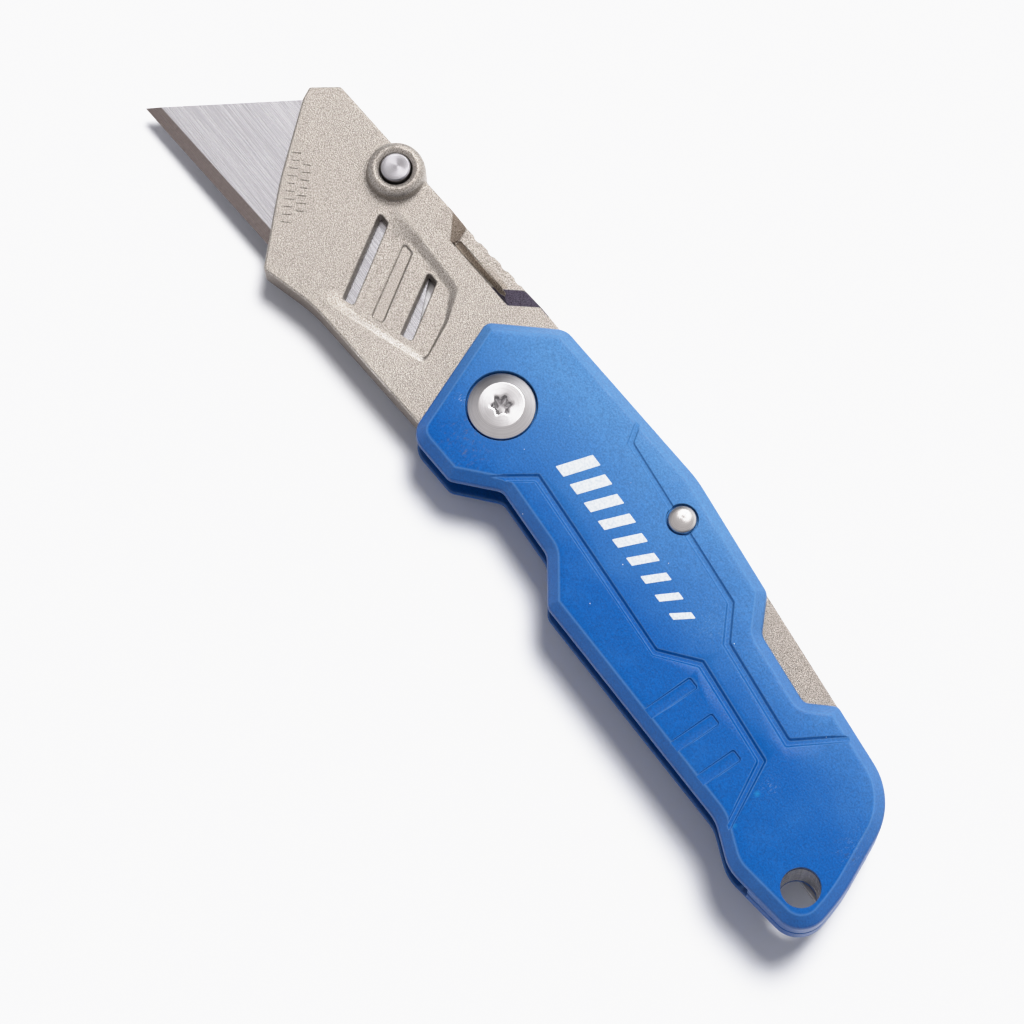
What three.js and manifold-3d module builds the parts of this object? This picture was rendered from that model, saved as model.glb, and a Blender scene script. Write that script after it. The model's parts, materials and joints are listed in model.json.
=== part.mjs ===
// A folding utility knife: two moulded handle shells, a cast blade holder that turns between them,
// a standard trapezoid blade, a lock bar along the back, a blade release button and a belt clip.
//
// Millimetres. +X runs along the handle to its tail, +Y to its back, where the lock bar lies, and
// +Z out of the face with the pivot screw. Everything is drawn about the pivot, with z = 0 in the
// middle of the knife's thickness, and `knife` then lifts the whole onto its base.

import * as THREE from 'three';
import { mergeVertices } from 'three/addons/utils/BufferGeometryUtils.js';
import Module from 'manifold-3d';

const wasm = await Module();
wasm.setup();

// ---------------------------------------------------------------- driving dimensions

const GAP = 0.3;
const CUT = 0.1; // how far a cutter runs past the face that it opens

const HANDLE_THICKNESS = 12;
const SHELL_WALL = 3;
const SHELL_CHAMFER = 1.8;
const FACE = HANDLE_THICKNESS / 2;
const CHANNEL = FACE - SHELL_WALL; // half the width of the channel between the shells

const HOLDER_THICKNESS = 5;
const HOLDER_FACE = HOLDER_THICKNESS / 2;
const CAST_EDGE = 0.3;
const TANG_RADIUS = 9.5;
const POCKET = 0.6; // half the height of the blade's pocket
const COVER_THICKNESS = 1.6;
const FOLD_ANGLE = THREE.MathUtils.degToRad(166);

const BLADE_LENGTH = 61;
const BLADE_WIDTH = 19;
const BLADE_THICKNESS = 0.6;
const BLADE_BEVEL = 1.85;
const BLADE_EDGE = 0.06;
const BLADE_END_ANGLE = THREE.MathUtils.degToRad(52.05);
const BLADE_TIP = [-72.12, -15.06];
const BLADE_TILT = THREE.MathUtils.degToRad(4.8);

const PIVOT_HEAD_RADIUS = 5.1;
const PIVOT_BARREL_RADIUS = 3.6;
const WASHER_RADIUS = 7;
const WASHER_FROM = 2.2;
const WASHER_THICKNESS = 0.55;

const RIVET = [29.8, 11.2];
const RIVET_HEAD_RADIUS = 2.15;
const RIVET_SHAFT_RADIUS = 1.7;
const LOCK_BAR_FACE = 2.5;

const STOP_PIN = [1, 12.4];
const STOP_PIN_RADIUS = 1.1;

const LANYARD = [83.7, -7.75];
const LANYARD_RADIUS = 2.92;
const LANYARD_TUBE_WALL = 0.45;
const LANYARD_TUBE_END = 4.6;

const BUTTON = [-40.1, 9.3];
const BUTTON_RADIUS = 2.25;
const BUTTON_BORE = BUTTON_RADIUS + 0.25;
const BUTTON_FLANGE_RADIUS = 3;
const BUTTON_WELL = BUTTON_FLANGE_RADIUS + 0.4;
const BUTTON_STEP = 1; // height of the step that holds the flange in
const BOSS_RADIUS = 4.6;

const CLIP_THICKNESS = 0.9;
const CLIP_WIDTH = 11;
const CLIP_SCREWS = [[77.4, -2.7], [77.4, 2.7], [83, 0]];
const SHELL_SCREW = [72.8, 8.9];
const COVER_SCREWS = [[-51, 7.5], [-20.2, 8], [-12.6, -4.4]];

// ---------------------------------------------------------------- materials

const material = (color, roughness, metalness) =>
  new THREE.MeshStandardMaterial({ color, roughness, metalness });

const nylon = () => material(0x2266bb, 0.45, 0);
const casting = () => material(0xb9b0a6, 0.55, 0.75);
const bladeSteel = () => material(0xb9bbc1, 0.3, 1);
const turnedSteel = () => material(0xc4c4c6, 0.28, 1);
const springSteel = () => material(0x77797d, 0.35, 1);
const brass = () => material(0xb08d57, 0.4, 1);

// ---------------------------------------------------------------- outlines

// Points round an anticlockwise outline of [x, y, fillet radius] corners, moved in by `inset`.
// The number of points doesn't depend on the inset, so that two insets can be joined by walls.
function outline(corners, inset = 0, fixedSteps = 0) {
  const count = corners.length;
  return corners.flatMap(([x, y, radius], i) => {
    const [beforeX, beforeY] = corners[(i + count - 1) % count];
    const [afterX, afterY] = corners[(i + 1) % count];
    const into = new THREE.Vector2(x - beforeX, y - beforeY).normalize();
    const out = new THREE.Vector2(afterX - x, afterY - y).normalize();
    const turn = Math.atan2(into.cross(out), into.dot(out));
    const inward = new THREE.Vector2(-into.y - out.y, into.x + out.x).normalize();
    const corner = new THREE.Vector2(x, y).addScaledVector(inward, inset / Math.cos(turn / 2));
    if (radius === 0) return [corner];
    const convex = Math.sign(turn);
    const arcRadius = Math.max(radius - convex * inset, 0.05);
    const start = corner.clone().addScaledVector(into, -arcRadius * Math.tan(Math.abs(turn) / 2));
    const centre = start.clone().add(
      new THREE.Vector2(-into.y, into.x).multiplyScalar(convex * arcRadius)
    );
    const steps = fixedSteps || Math.max(2, Math.ceil(Math.abs(turn) * Math.sqrt(radius) * 2));
    return Array.from({ length: steps + 1 }, (_, k) =>
      start.clone().rotateAround(centre, (turn * k) / steps)
    );
  });
}

const turnedPoint = ([x, y], angle, [aboutX, aboutY] = [0, 0]) => {
  const point = new THREE.Vector2(x, y).rotateAround(new THREE.Vector2(aboutX, aboutY), angle);
  return [point.x, point.y];
};

const square = (corners) => corners.map(([x, y]) => [x, y, 0]);

// A band of the given width along a route of points, as an outline.
function band(route, width) {
  const side = (offset) =>
    route.map(([x, y], i) => {
      const before = route[Math.max(i - 1, 0)];
      const after = route[Math.min(i + 1, route.length - 1)];
      const into = new THREE.Vector2(x - before[0], y - before[1]);
      const out = new THREE.Vector2(after[0] - x, after[1] - y);
      if (i === 0) into.copy(out);
      if (i === route.length - 1) out.copy(into);
      const turn = Math.atan2(into.cross(out), into.dot(out));
      const left = into.normalize().add(out.normalize()).normalize();
      const reach = offset / Math.cos(turn / 2);
      return [x - left.y * reach, y + left.x * reach, i % (route.length - 1) ? 0.5 : 0];
    });
  return [...side(-width / 2), ...side(width / 2).reverse()];
}

// ---------------------------------------------------------------- solids

// A geometry as a manifold solid.
function solid(geometry) {
  geometry.deleteAttribute('normal');
  geometry.deleteAttribute('uv');
  const merged = mergeVertices(geometry, 1e-4);
  const index = Array.from(merged.index.array);
  const triangles = [];
  for (let i = 0; i < index.length; i += 3) {
    const [a, b, c] = index.slice(i, i + 3);
    if (a !== b && b !== c && c !== a) triangles.push(a, b, c);
  }
  return new wasm.Manifold(
    new wasm.Mesh({
      numProp: 3,
      vertProperties: new Float32Array(merged.attributes.position.array),
      triVerts: new Uint32Array(triangles),
    })
  );
}

// A solid back as a geometry.
function geometryOf(body) {
  const mesh = body.getMesh();
  const geometry = new THREE.BufferGeometry();
  geometry.setAttribute('position', new THREE.BufferAttribute(mesh.vertProperties, 3));
  geometry.setIndex(new THREE.BufferAttribute(mesh.triVerts, 1));
  geometry.computeVertexNormals();
  return geometry;
}

// A closed shape through rings of points, each at its own height, from the lowest up.
function loft(rings) {
  const count = rings[0][1].length;
  const positions = rings.flatMap(([z, points]) => points.flatMap(({ x, y }) => [x, y, z]));
  const index = [];
  for (let ring = 0; ring < rings.length - 1; ring++) {
    for (let i = 0; i < count; i++) {
      const a = ring * count + i;
      const b = ring * count + ((i + 1) % count);
      index.push(a, b, b + count, a, b + count, a + count);
    }
  }
  const top = (rings.length - 1) * count;
  for (const [a, b, c] of THREE.ShapeUtils.triangulateShape(rings[0][1], [])) index.push(a, c, b);
  for (const face of THREE.ShapeUtils.triangulateShape(rings.at(-1)[1], [])) {
    index.push(...face.map((i) => i + top));
  }
  const geometry = new THREE.BufferGeometry();
  geometry.setAttribute('position', new THREE.Float32BufferAttribute(positions, 3));
  geometry.setIndex(index);
  return solid(geometry);
}

// An outline raised through [height, inset] levels.
const stack = (corners, levels) =>
  loft(levels.map(([z, inset]) => [z, outline(corners, inset)]));

const prism = (corners, low, high, grow = 0) => stack(corners, [[low, -grow], [high, -grow]]);

// A round bar or hole along Z.
function round(radius, low, high, [x, y] = [0, 0], segments = 28) {
  const geometry = new THREE.CylinderGeometry(radius, radius, high - low, segments);
  geometry.rotateX(Math.PI / 2);
  geometry.translate(x, y, (low + high) / 2);
  return solid(geometry);
}

// A turned piece: [radius, height] points from the lowest on the axis to the highest on it.
function turned(profile, [x, y] = [0, 0], segments = 28) {
  const points = profile.map(([radius, z]) => new THREE.Vector2(radius, z));
  const geometry = new THREE.LatheGeometry(points, segments);
  geometry.rotateX(Math.PI / 2);
  geometry.translate(x, y, 0);
  return solid(geometry);
}

const joined = (...bodies) => bodies.reduce((all, body) => all.add(body));
const cut = (body, ...tools) => tools.reduce((left, tool) => left.subtract(tool), body);
const flipped = (body) => body.rotate([180, 0, 0]).mirror([0, 1, 0]);

// A drive recess with six lobes, as an outline. Twelve steps leave them pointed, more round them.
function sixLobe(radius, steps) {
  return Array.from({ length: steps }, (_, k) => {
    const angle = (k / steps) * Math.PI * 2;
    const reach = radius * (0.855 + 0.145 * Math.cos(6 * angle));
    return new THREE.Vector2(reach * Math.cos(angle), reach * Math.sin(angle));
  });
}

const driveRecess = (radius, low, high, steps = 12) =>
  loft([[low, sixLobe(radius, steps)], [high, sixLobe(radius, steps)]]);

class Helix extends THREE.Curve {
  constructor(radius, low, high, turns) {
    super();
    Object.assign(this, { radius, low, high, turns });
  }

  getPoint(t, target = new THREE.Vector3()) {
    const angle = t * this.turns * Math.PI * 2;
    const z = THREE.MathUtils.lerp(this.low, this.high, t);
    return target.set(this.radius * Math.cos(angle), this.radius * Math.sin(angle), z);
  }
}

// A coil spring along Z, as a geometry.
function coil(radius, wire, low, high, turns) {
  const section = new THREE.Shape().absarc(0, 0, wire, 0, Math.PI * 2);
  return new THREE.ExtrudeGeometry(section, {
    steps: turns * 10,
    curveSegments: 3,
    bevelEnabled: false,
    extrudePath: new Helix(radius, low, high, turns),
  });
}

// ---------------------------------------------------------------- the assembly

const knife = new THREE.Group();

function addPart(name, body, look, parent = knife) {
  const geometry = body instanceof THREE.BufferGeometry ? body : geometryOf(body);
  const mesh = new THREE.Mesh(geometry, look);
  mesh.name = name;
  parent.add(mesh);
  return mesh;
}

// ---------------------------------------------------------------- handle shells

const HANDLE_OUTLINE = [
  [-12.4, 6.1, 1.6], // front corner
  [-4.9, -13.27, 3.5], // finger guard
  [4.22, -12.75, 1.8],
  [10.27, -7.34, 1.8], // finger scallop
  [22, -7.76, 3],
  [28.5, -12.44, 2],
  [68.4, -11.5, 6], // long lower edge
  [75.2, -14.25, 7], // tail bulge
  [90.2, -12.2, 4.5],
  [88.1, -3.3, 30],
  [81.56, 11.55, 11],
  [65.39, 13.06, 1.2], // cut-out over the lock bar
  [62.02, 9.34, 1.6],
  [50.38, 10.49, 2],
  [45.71, 15.02, 2.2],
  [25.7, 17.12, 20],
  [-4.45, 15.14, 3],
];

// The stretch at the tail where the two shells meet.
const TAIL_BLOCK = square([
  [67.8, 20], [68.6, 9], [74.5, 4], [76, -3], [77.6, -9], [81.2, -20], [95, -20], [95, 20],
]);

const GROOVE_WIDTH = 1.3;
const GROOVE_DEPTH = 0.55;
const GROOVES = [
  [[13.2, 16], [15.9, 12], [44.1, 9.35], [48.7, 5.2], [65.7, 3.45], [71.2, 12.3]],
  [[7.6, -8.5], [12.1, -2.3], [43.5, -4.05], [48.9, 0.4], [65.6, -1.15], [71.2, -12.2]],
];

const GRIP_COUNT = 3;
const GRIP_PITCH = 6.15;
const GRIP_DEPTH = 0.35;
const GRIP_FALL = 0.65; // how much lower each recess starts than the one before it

const LEDGE = square([[53, 1.3], [59, 1.3], [59, 2.9], [53, 2.9]]); // seat of the lock spring

// One shell, with its face up. The other one is its mirror image before the holes are cut.
function shellBlank() {
  const plate = stack(HANDLE_OUTLINE, [
    [CHANNEL, 0],
    [FACE - SHELL_CHAMFER, 0],
    [FACE, SHELL_CHAMFER],
  ]);
  const block = prism(HANDLE_OUTLINE, GAP / 2, CHANNEL + CUT)
    .intersect(prism(TAIL_BLOCK, GAP / 2, CHANNEL + CUT));
  const ledge = prism(LEDGE, GAP / 2, CHANNEL + CUT);
  const grooves = GROOVES.map((route) =>
    stack(band(route, GROOVE_WIDTH), [[FACE - GROOVE_DEPTH, 0.33], [FACE + CUT, -0.05]])
  );
  const grips = Array.from({ length: GRIP_COUNT }, (_, k) => {
    const x = 49.4 + k * GRIP_PITCH;
    const top = -2.05 - k * GRIP_FALL;
    const corners = [[x - 0.25, -14, 0], [x + 1.85, -14, 0], [x + 2.15, top, 0.45], [x + 0.1, top, 0.45]];
    return prism(corners, FACE - GRIP_DEPTH, FACE + CUT);
  });
  return cut(
    joined(plate, block, ledge),
    ...grooves,
    ...grips,
    round(PIVOT_BARREL_RADIUS + GAP, 0, FACE + CUT),
    round(PIVOT_HEAD_RADIUS + GAP, FACE - 1.3, FACE + CUT, [0, 0], 40),
    round(RIVET_SHAFT_RADIUS + GAP, 0, FACE + CUT, RIVET, 24),
    round(STOP_PIN_RADIUS + GAP, 0, FACE - 1.6, STOP_PIN, 20),
    round(LANYARD_RADIUS + 0.03, 0, FACE + CUT, LANYARD, 32),
    round(LANYARD_RADIUS + LANYARD_TUBE_WALL + GAP, 0, LANYARD_TUBE_END + GAP, LANYARD, 32)
  );
}

function topShell() {
  return cut(
    shellBlank(),
    round(RIVET_HEAD_RADIUS + GAP, FACE - 1.1, FACE + CUT, RIVET, 28),
    round(1.4, 0, 3.4, SHELL_SCREW, 20)
  );
}

function bottomShell() {
  const clipHoles = CLIP_SCREWS.map((at) => round(1.4, -FACE - CUT, -3.9, at, 20));
  return cut(
    flipped(shellBlank()),
    round(RIVET_HEAD_RADIUS + GAP, -FACE - CUT, 1.1 - FACE, RIVET, 28),
    round(1.5, -FACE - CUT, 0, SHELL_SCREW, 20),
    round(2.4, -FACE - CUT, 1.7 - FACE, SHELL_SCREW, 24),
    ...clipHoles
  );
}

addPart('top_shell', topShell(), nylon());
addPart('bottom_shell', bottomShell(), nylon());

// ---------------------------------------------------------------- pivot

function pivotScrew() {
  const head = turned([
    [0, -2.5], [2.1, -2.5], [2.3, -2.3], [2.3, FACE - 1],
    [PIVOT_HEAD_RADIUS, FACE - 1], [PIVOT_HEAD_RADIUS, FACE - 0.25],
    [3.5, FACE + 0.45], [0, FACE + 0.45],
  ], [0, 0], 40);
  return cut(head, driveRecess(1.62, FACE - 1.15, FACE + 1, 30));
}

function pivotBarrel() {
  const head = turned([
    [0, -FACE - 0.45], [3.5, -FACE - 0.45], [PIVOT_HEAD_RADIUS, 0.25 - FACE],
    [PIVOT_HEAD_RADIUS, 1 - FACE], [PIVOT_BARREL_RADIUS, 1 - FACE],
    [PIVOT_BARREL_RADIUS, 4.4], [0, 4.4],
  ], [0, 0], 40);
  return cut(head, round(2.6, -3.9, 5), driveRecess(1.62, -FACE - 1, 1.15 - FACE));
}

addPart('pivot_screw', pivotScrew(), turnedSteel());
addPart('pivot_barrel', pivotBarrel(), turnedSteel());

for (const [name, from] of [
  ['pivot_washer_top', WASHER_FROM],
  ['pivot_washer_bottom', -WASHER_FROM - WASHER_THICKNESS],
]) {
  const ring = cut(
    round(WASHER_RADIUS, 0, WASHER_THICKNESS, [0, 0], 36),
    round(PIVOT_BARREL_RADIUS + GAP, -CUT, WASHER_THICKNESS + CUT)
  );
  addPart(name, ring, brass()).position.z = from;
}

// ---------------------------------------------------------------- blade

// The blade is drawn with its tip at the origin and its edge along X.
const BLADE_RUN = BLADE_WIDTH / Math.tan(BLADE_END_ANGLE);

function bladeOutline() {
  const middle = BLADE_LENGTH / 2;
  const notch = (x) => [
    [x + 1.5, BLADE_WIDTH, 0],
    [x + 1.3, BLADE_WIDTH - 2.4, 0.8],
    [x - 1.3, BLADE_WIDTH - 2.4, 0.8],
    [x - 1.5, BLADE_WIDTH, 0],
  ];
  return [
    [0, 0, 0],
    [BLADE_LENGTH, 0, 0],
    [BLADE_LENGTH - BLADE_RUN, BLADE_WIDTH, 0],
    ...notch(middle + 5.2),
    ...notch(middle - 5.2),
    [BLADE_RUN, BLADE_WIDTH, 0],
  ];
}

function bladeBody() {
  const half = BLADE_THICKNESS / 2;
  const section = new THREE.Shape([
    new THREE.Vector2(0, -BLADE_EDGE / 2),
    new THREE.Vector2(BLADE_BEVEL, -half),
    new THREE.Vector2(BLADE_WIDTH, -half),
    new THREE.Vector2(BLADE_WIDTH, half),
    new THREE.Vector2(BLADE_BEVEL, half),
    new THREE.Vector2(0, BLADE_EDGE / 2),
  ]);
  const bar = new THREE.ExtrudeGeometry(section, { depth: BLADE_LENGTH, bevelEnabled: false });
  bar.applyMatrix4(
    new THREE.Matrix4().makeBasis(
      new THREE.Vector3(0, 1, 0),
      new THREE.Vector3(0, 0, 1),
      new THREE.Vector3(1, 0, 0)
    )
  );
  return solid(bar).intersect(prism(bladeOutline(), -1, 1));
}

const blade = addPart('blade', bladeBody(), bladeSteel());
blade.position.set(...BLADE_TIP, 0);
blade.rotation.z = BLADE_TILT;

// ---------------------------------------------------------------- blade holder

const HOLDER_OUTLINE = [
  [-39.5, -15.75, 0.9], // lower front corner
  [-30.5, -13.05, 25],
  [-3.2, -10.85, 0.5], // shoulder that meets the handle when folded
  [-3.2, 0, 0],
  [-0.5, 4, 0],
  [-0.5, 14.85, 0.5], // shoulder that meets the stop pin when open
  [-15.5, 14.25, 6],
  [-29.6, 12.75, 4],
  [-34.5, 12.35, 4],
  [-56.5, 10.7, 0.8],
  [-59.35, 6.75, 0.5],
  [-58.45, 4.95, 1.5],
  [-49.7, -5.6, 60], // slightly bowed front edge
];

// The lock bar's nose when it is home, with room round it.
const NOSE_NOTCH = square([[2.2, 8.4], [5.65, 7], [5.65, 16], [2.2, 16]]);
const FOLDED_NOTCH = NOSE_NOTCH.map(([x, y]) => [...turnedPoint([x, y], -FOLD_ANGLE), 0]);

// The cover plate's outline. Its front edge lies `reach` ahead of the plate's own place.
const coverOutline = (reach = 0) => [
  [-40.5 - reach, -13.45 - reach, 0.8],
  [-30.3, -12, 20],
  [-10.3, -10.35, 1],
  [-9.7, -3.4, 1.5],
  [-16.9, 10.2, 1.5],
  [-55.6, 9.6, 1],
  [-57.9 - reach, 6.1, 0.8],
  [-57.6 - reach, 5.2, 0],
  [-49 - reach, -5.5 - reach / 2, 0],
];

const SLOT_COUNT = 3;

// The slots over the blade lean forward, and each one is shorter than the one before it.
const slotOutline = (k) => [
  [-28.7 + 4.85 * k, -8.85 + 1.88 * k, 0.45],
  [-26.9 + 4.9 * k, -8 + 1.85 * k, 0.45],
  [-34.35 + 5.93 * k, 3.7 + 0.25 * k, 0.45],
  [-36.5 + 5.95 * k, 3.65 + 0.25 * k, 0.45],
];

function bladePocket() {
  const side = GAP / Math.sin(BLADE_END_ANGLE);
  const low = -GAP;
  const high = BLADE_WIDTH + GAP;
  const rear = BLADE_LENGTH + side;
  const strip = [[-5, low], [rear, low], [rear - BLADE_RUN, high], [-5, high]];
  return prism(square(strip), -POCKET, POCKET)
    .rotate([0, 0, THREE.MathUtils.radToDeg(BLADE_TILT)])
    .translate([...BLADE_TIP, 0]);
}

function buttonBoss() {
  return turned([
    [0, 2], [BOSS_RADIUS - 0.2, 2], [BOSS_RADIUS, 2.8], [BOSS_RADIUS - 0.15, 3.8],
    [3.95, 4.5], [3.3, 4.75], [2.9, 4.65], [2.5, 4.4], [0, 4.4],
  ], BUTTON, 32);
}

function thumbRamp() {
  const steps = 4;
  const mouth = [
    [-26.3, 9.9, 0.3], [-13.3, 10.4, 0.3], [-9.8, 14.7, 0], [-9.8, 18, 0], [-30.2, 18, 0], [-30.2, 12.6, 0],
  ];
  const floor = [
    [-25.2, 10.6, 0.3], [-15.2, 11.1, 0.3], [-13.4, 14.4, 0], [-13.4, 18, 0], [-27.6, 18, 0], [-27.6, 12.9, 0],
  ];
  const ramp = loft([[1.3, outline(floor, 0, steps)], [HOLDER_FACE + CUT, outline(mouth, 0, steps)]]);
  const groove = square([[-25.4, 10.3], [-14.8, 10.8], [-15, 11.9], [-25.2, 11.4]]);
  return joined(ramp, stack(groove, [[0.7, 0.35], [1.4, 0]]));
}

function slotPanel() {
  const steps = 4;
  const mouth = [[-31.5, -10.6, 1.5], [-12.6, -4.6, 1], [-19.6, 6, 2], [-38, 5.9, 1.5]];
  const floor = [[-26.5, -8.2, 1.5], [-14.2, -4.2, 1], [-20.2, 4.9, 2], [-31, 4.8, 1.5]];
  return loft([
    [HOLDER_FACE - 0.4, outline(floor, 0, steps)],
    [HOLDER_FACE + 0.02, outline(mouth, 0, steps)],
  ]);
}

function bladeHolder() {
  const body = stack(HOLDER_OUTLINE, [
    [-HOLDER_FACE, CAST_EDGE],
    [CAST_EDGE - HOLDER_FACE, 0],
    [HOLDER_FACE - CAST_EDGE, 0],
    [HOLDER_FACE, CAST_EDGE],
  ]);
  const bulge = round(BOSS_RADIUS - 0.2, -HOLDER_FACE, HOLDER_FACE, BUTTON, 32);
  const tang = round(TANG_RADIUS, -HOLDER_FACE, HOLDER_FACE, [0, 0], 48);
  const coverRecess = cut(
    prism(coverOutline(3), -HOLDER_FACE - CUT, -POCKET, GAP),
    round(BUTTON_WELL + 0.9, -HOLDER_FACE - 1, 0, BUTTON)
  );
  const slots = Array.from({ length: SLOT_COUNT }, (_, k) => {
    const depth = k === 1 ? HOLDER_FACE - 0.85 : 0;
    return prism(slotOutline(k), depth, HOLDER_FACE + CUT);
  });
  const teeth = Array.from({ length: 4 }, (_, k) => {
    const x = -24.7 + 3.03 * k;
    return round(1.3, -HOLDER_FACE - CUT, HOLDER_FACE + CUT, [x, 15.55 + 0.105 * (x + 13)], 12);
  });
  const screwHoles = COVER_SCREWS.map((at) => round(1.3, -1, 1.6, at, 20));
  return cut(
    joined(body, bulge, tang, buttonBoss()),
    bladePocket(),
    coverRecess,
    slotPanel(),
    thumbRamp(),
    ...slots,
    ...teeth,
    ...screwHoles,
    round(BUTTON_BORE, 0, 6, BUTTON),
    round(BUTTON_WELL, -HOLDER_FACE - CUT, BUTTON_STEP, BUTTON),
    round(PIVOT_BARREL_RADIUS + GAP, -3, 3),
    round(WASHER_RADIUS + GAP, WASHER_FROM - GAP, 3, [0, 0], 36),
    round(WASHER_RADIUS + GAP, -3, GAP - WASHER_FROM, [0, 0], 36),
    prism(NOSE_NOTCH, -3, 3),
    prism(FOLDED_NOTCH, -3, 3)
  );
}

addPart('blade_holder', bladeHolder(), casting());

function holderCover() {
  const low = -HOLDER_FACE;
  const high = COVER_THICKNESS - HOLDER_FACE;
  const screwHoles = COVER_SCREWS.map((at) =>
    turned([[0, low - 0.5], [2.7, low - 0.5], [1.3, low + 0.9], [1.3, high + 0.5], [0, high + 0.5]], at, 16)
  );
  return cut(
    prism(coverOutline(), low, high),
    round(BUTTON_WELL + 0.9 + GAP, low - 1, high + 1, BUTTON),
    ...screwHoles
  );
}

addPart('holder_cover', holderCover(), springSteel());

COVER_SCREWS.forEach((at, k) => {
  const low = -HOLDER_FACE;
  const screw = cut(
    turned([[0, 0], [1.85, 0], [1, 0.85], [1, 3.6], [0, 3.6]], [0, 0], 18),
    driveRecess(0.8, -1, 0.6)
  );
  addPart(`cover_screw_${k + 1}`, screw, turnedSteel()).position.set(...at, low);
});

// ---------------------------------------------------------------- blade release button

const atButton = new THREE.Group();
atButton.position.set(...BUTTON, 0);
atButton.rotation.z = BLADE_TILT;
knife.add(atButton);

const BUTTON_TOP = 5.4;
const BUTTON_FOOT = -0.4;
const RETAINER_TOP = -1.9;

function releaseButton() {
  const flange = round(BUTTON_FLANGE_RADIUS, BUTTON_FOOT, BUTTON_STEP - GAP);
  const flat = square([[-4, -4], [4, -4], [4, -BUTTON_RADIUS], [-4, -BUTTON_RADIUS]]);
  const stem = turned([
    [0, BUTTON_FOOT], [BUTTON_RADIUS, BUTTON_FOOT], [BUTTON_RADIUS, BUTTON_TOP - 0.25],
    [BUTTON_RADIUS - 0.2, BUTTON_TOP], [0, BUTTON_TOP],
  ]);
  return cut(joined(cut(flange, prism(flat, -1, 1)), stem), round(1.5, -1, 3.4, [0, 0], 24));
}

addPart('release_button', releaseButton(), turnedSteel(), atButton);
addPart('button_spring', coil(1, 0.2, -1.45, 3, 4), springSteel(), atButton);
addPart(
  'button_retainer',
  round(BUTTON_WELL - GAP, -HOLDER_FACE, RETAINER_TOP),
  springSteel(),
  atButton
);

// ---------------------------------------------------------------- lock bar

const LOCK_BAR_OUTLINE = [
  [2.7, 9.45, 0.3], // nose
  [5.2, 8.35, 0.3],
  [5.2, 11.3, 0],
  [14, 9.6, 4],
  [26, 8.3, 3],
  [28, 7.6, 2], // round the rivet
  [32, 7.6, 2],
  [34.5, 8.2, 2],
  [50, 7.6, 4],
  [66.8, 7.4, 1.2],
  [66.7, 13.05, 0.8],
  [45, 15.03, 20],
  [25.7, 16.65, 20],
  [2.7, 15.15, 0.8],
];

const lockBar = cut(
  stack(LOCK_BAR_OUTLINE, [
    [-LOCK_BAR_FACE, 0.2],
    [0.2 - LOCK_BAR_FACE, 0],
    [LOCK_BAR_FACE - 0.2, 0],
    [LOCK_BAR_FACE, 0.2],
  ]),
  round(RIVET_SHAFT_RADIUS + GAP + 0.1, -3, 3, RIVET, 28)
);
addPart('lock_bar', lockBar, casting());

const rivet = turned([
  [0, -FACE], [1.3, -FACE], [RIVET_HEAD_RADIUS, 0.4 - FACE], [RIVET_HEAD_RADIUS, 0.8 - FACE],
  [RIVET_SHAFT_RADIUS, 0.8 - FACE], [RIVET_SHAFT_RADIUS, FACE - 0.8],
  [RIVET_HEAD_RADIUS, FACE - 0.8], [RIVET_HEAD_RADIUS, FACE - 0.35],
  [1.85, FACE], [1.25, FACE + 0.25], [0.6, FACE + 0.37], [0, FACE + 0.4],
], [0, 0], 28);
addPart('lock_bar_rivet', rivet, turnedSteel()).position.set(...RIVET, 0);

const lockSpring = addPart('lock_spring', coil(1.5, 0.25, 0.3, 4, 4), springSteel());
lockSpring.position.set(56, 3.2, 0);
lockSpring.rotation.x = -Math.PI / 2;

const stopPin = turned([
  [0, -4.1], [STOP_PIN_RADIUS - 0.2, -4.1], [STOP_PIN_RADIUS, -3.9],
  [STOP_PIN_RADIUS, 3.9], [STOP_PIN_RADIUS - 0.2, 4.1], [0, 4.1],
], [0, 0], 20);
addPart('stop_pin', stopPin, turnedSteel()).position.set(...STOP_PIN, 0);

// ---------------------------------------------------------------- lanyard tube and shell screw

const lanyardTube = cut(
  round(LANYARD_RADIUS + LANYARD_TUBE_WALL, -LANYARD_TUBE_END, LANYARD_TUBE_END, [0, 0], 32),
  round(LANYARD_RADIUS, -LANYARD_TUBE_END - 1, LANYARD_TUBE_END + 1, [0, 0], 32)
);
addPart('lanyard_tube', lanyardTube, springSteel()).position.set(...LANYARD, 0);

const shellScrew = cut(
  turned([[0, 0], [2.05, 0], [2.05, 1], [1.15, 1], [1.15, 8.6], [0, 8.6]], [0, 0], 18),
  driveRecess(1, -1, 0.6)
);
addPart('shell_screw', shellScrew, turnedSteel()).position.set(...SHELL_SCREW, 0.3 - FACE);

// ---------------------------------------------------------------- belt clip

const CLIP_TOP = -FACE - GAP;

// Middle line of the strip seen from the side, from the screwed root to the turned-out end.
const CLIP_ROUTE = [
  [89, CLIP_TOP], [72.5, CLIP_TOP], [67.5, CLIP_TOP - 2.2], [60, CLIP_TOP - 2.35],
  [41, CLIP_TOP - 0.35], [37.6, CLIP_TOP - 0.5], [33, CLIP_TOP - 2.1],
];

const CLIP_OUTLINE = [
  [32.6, -CLIP_WIDTH / 2 + 1.2, 3.5],
  [44, -CLIP_WIDTH / 2, 12],
  [87, -CLIP_WIDTH / 2, 1],
  [82.9, 4, 3],
  [80.5, CLIP_WIDTH / 2, 4],
  [44, CLIP_WIDTH / 2, 12],
  [32.6, CLIP_WIDTH / 2 - 1.2, 3.5],
];

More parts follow.
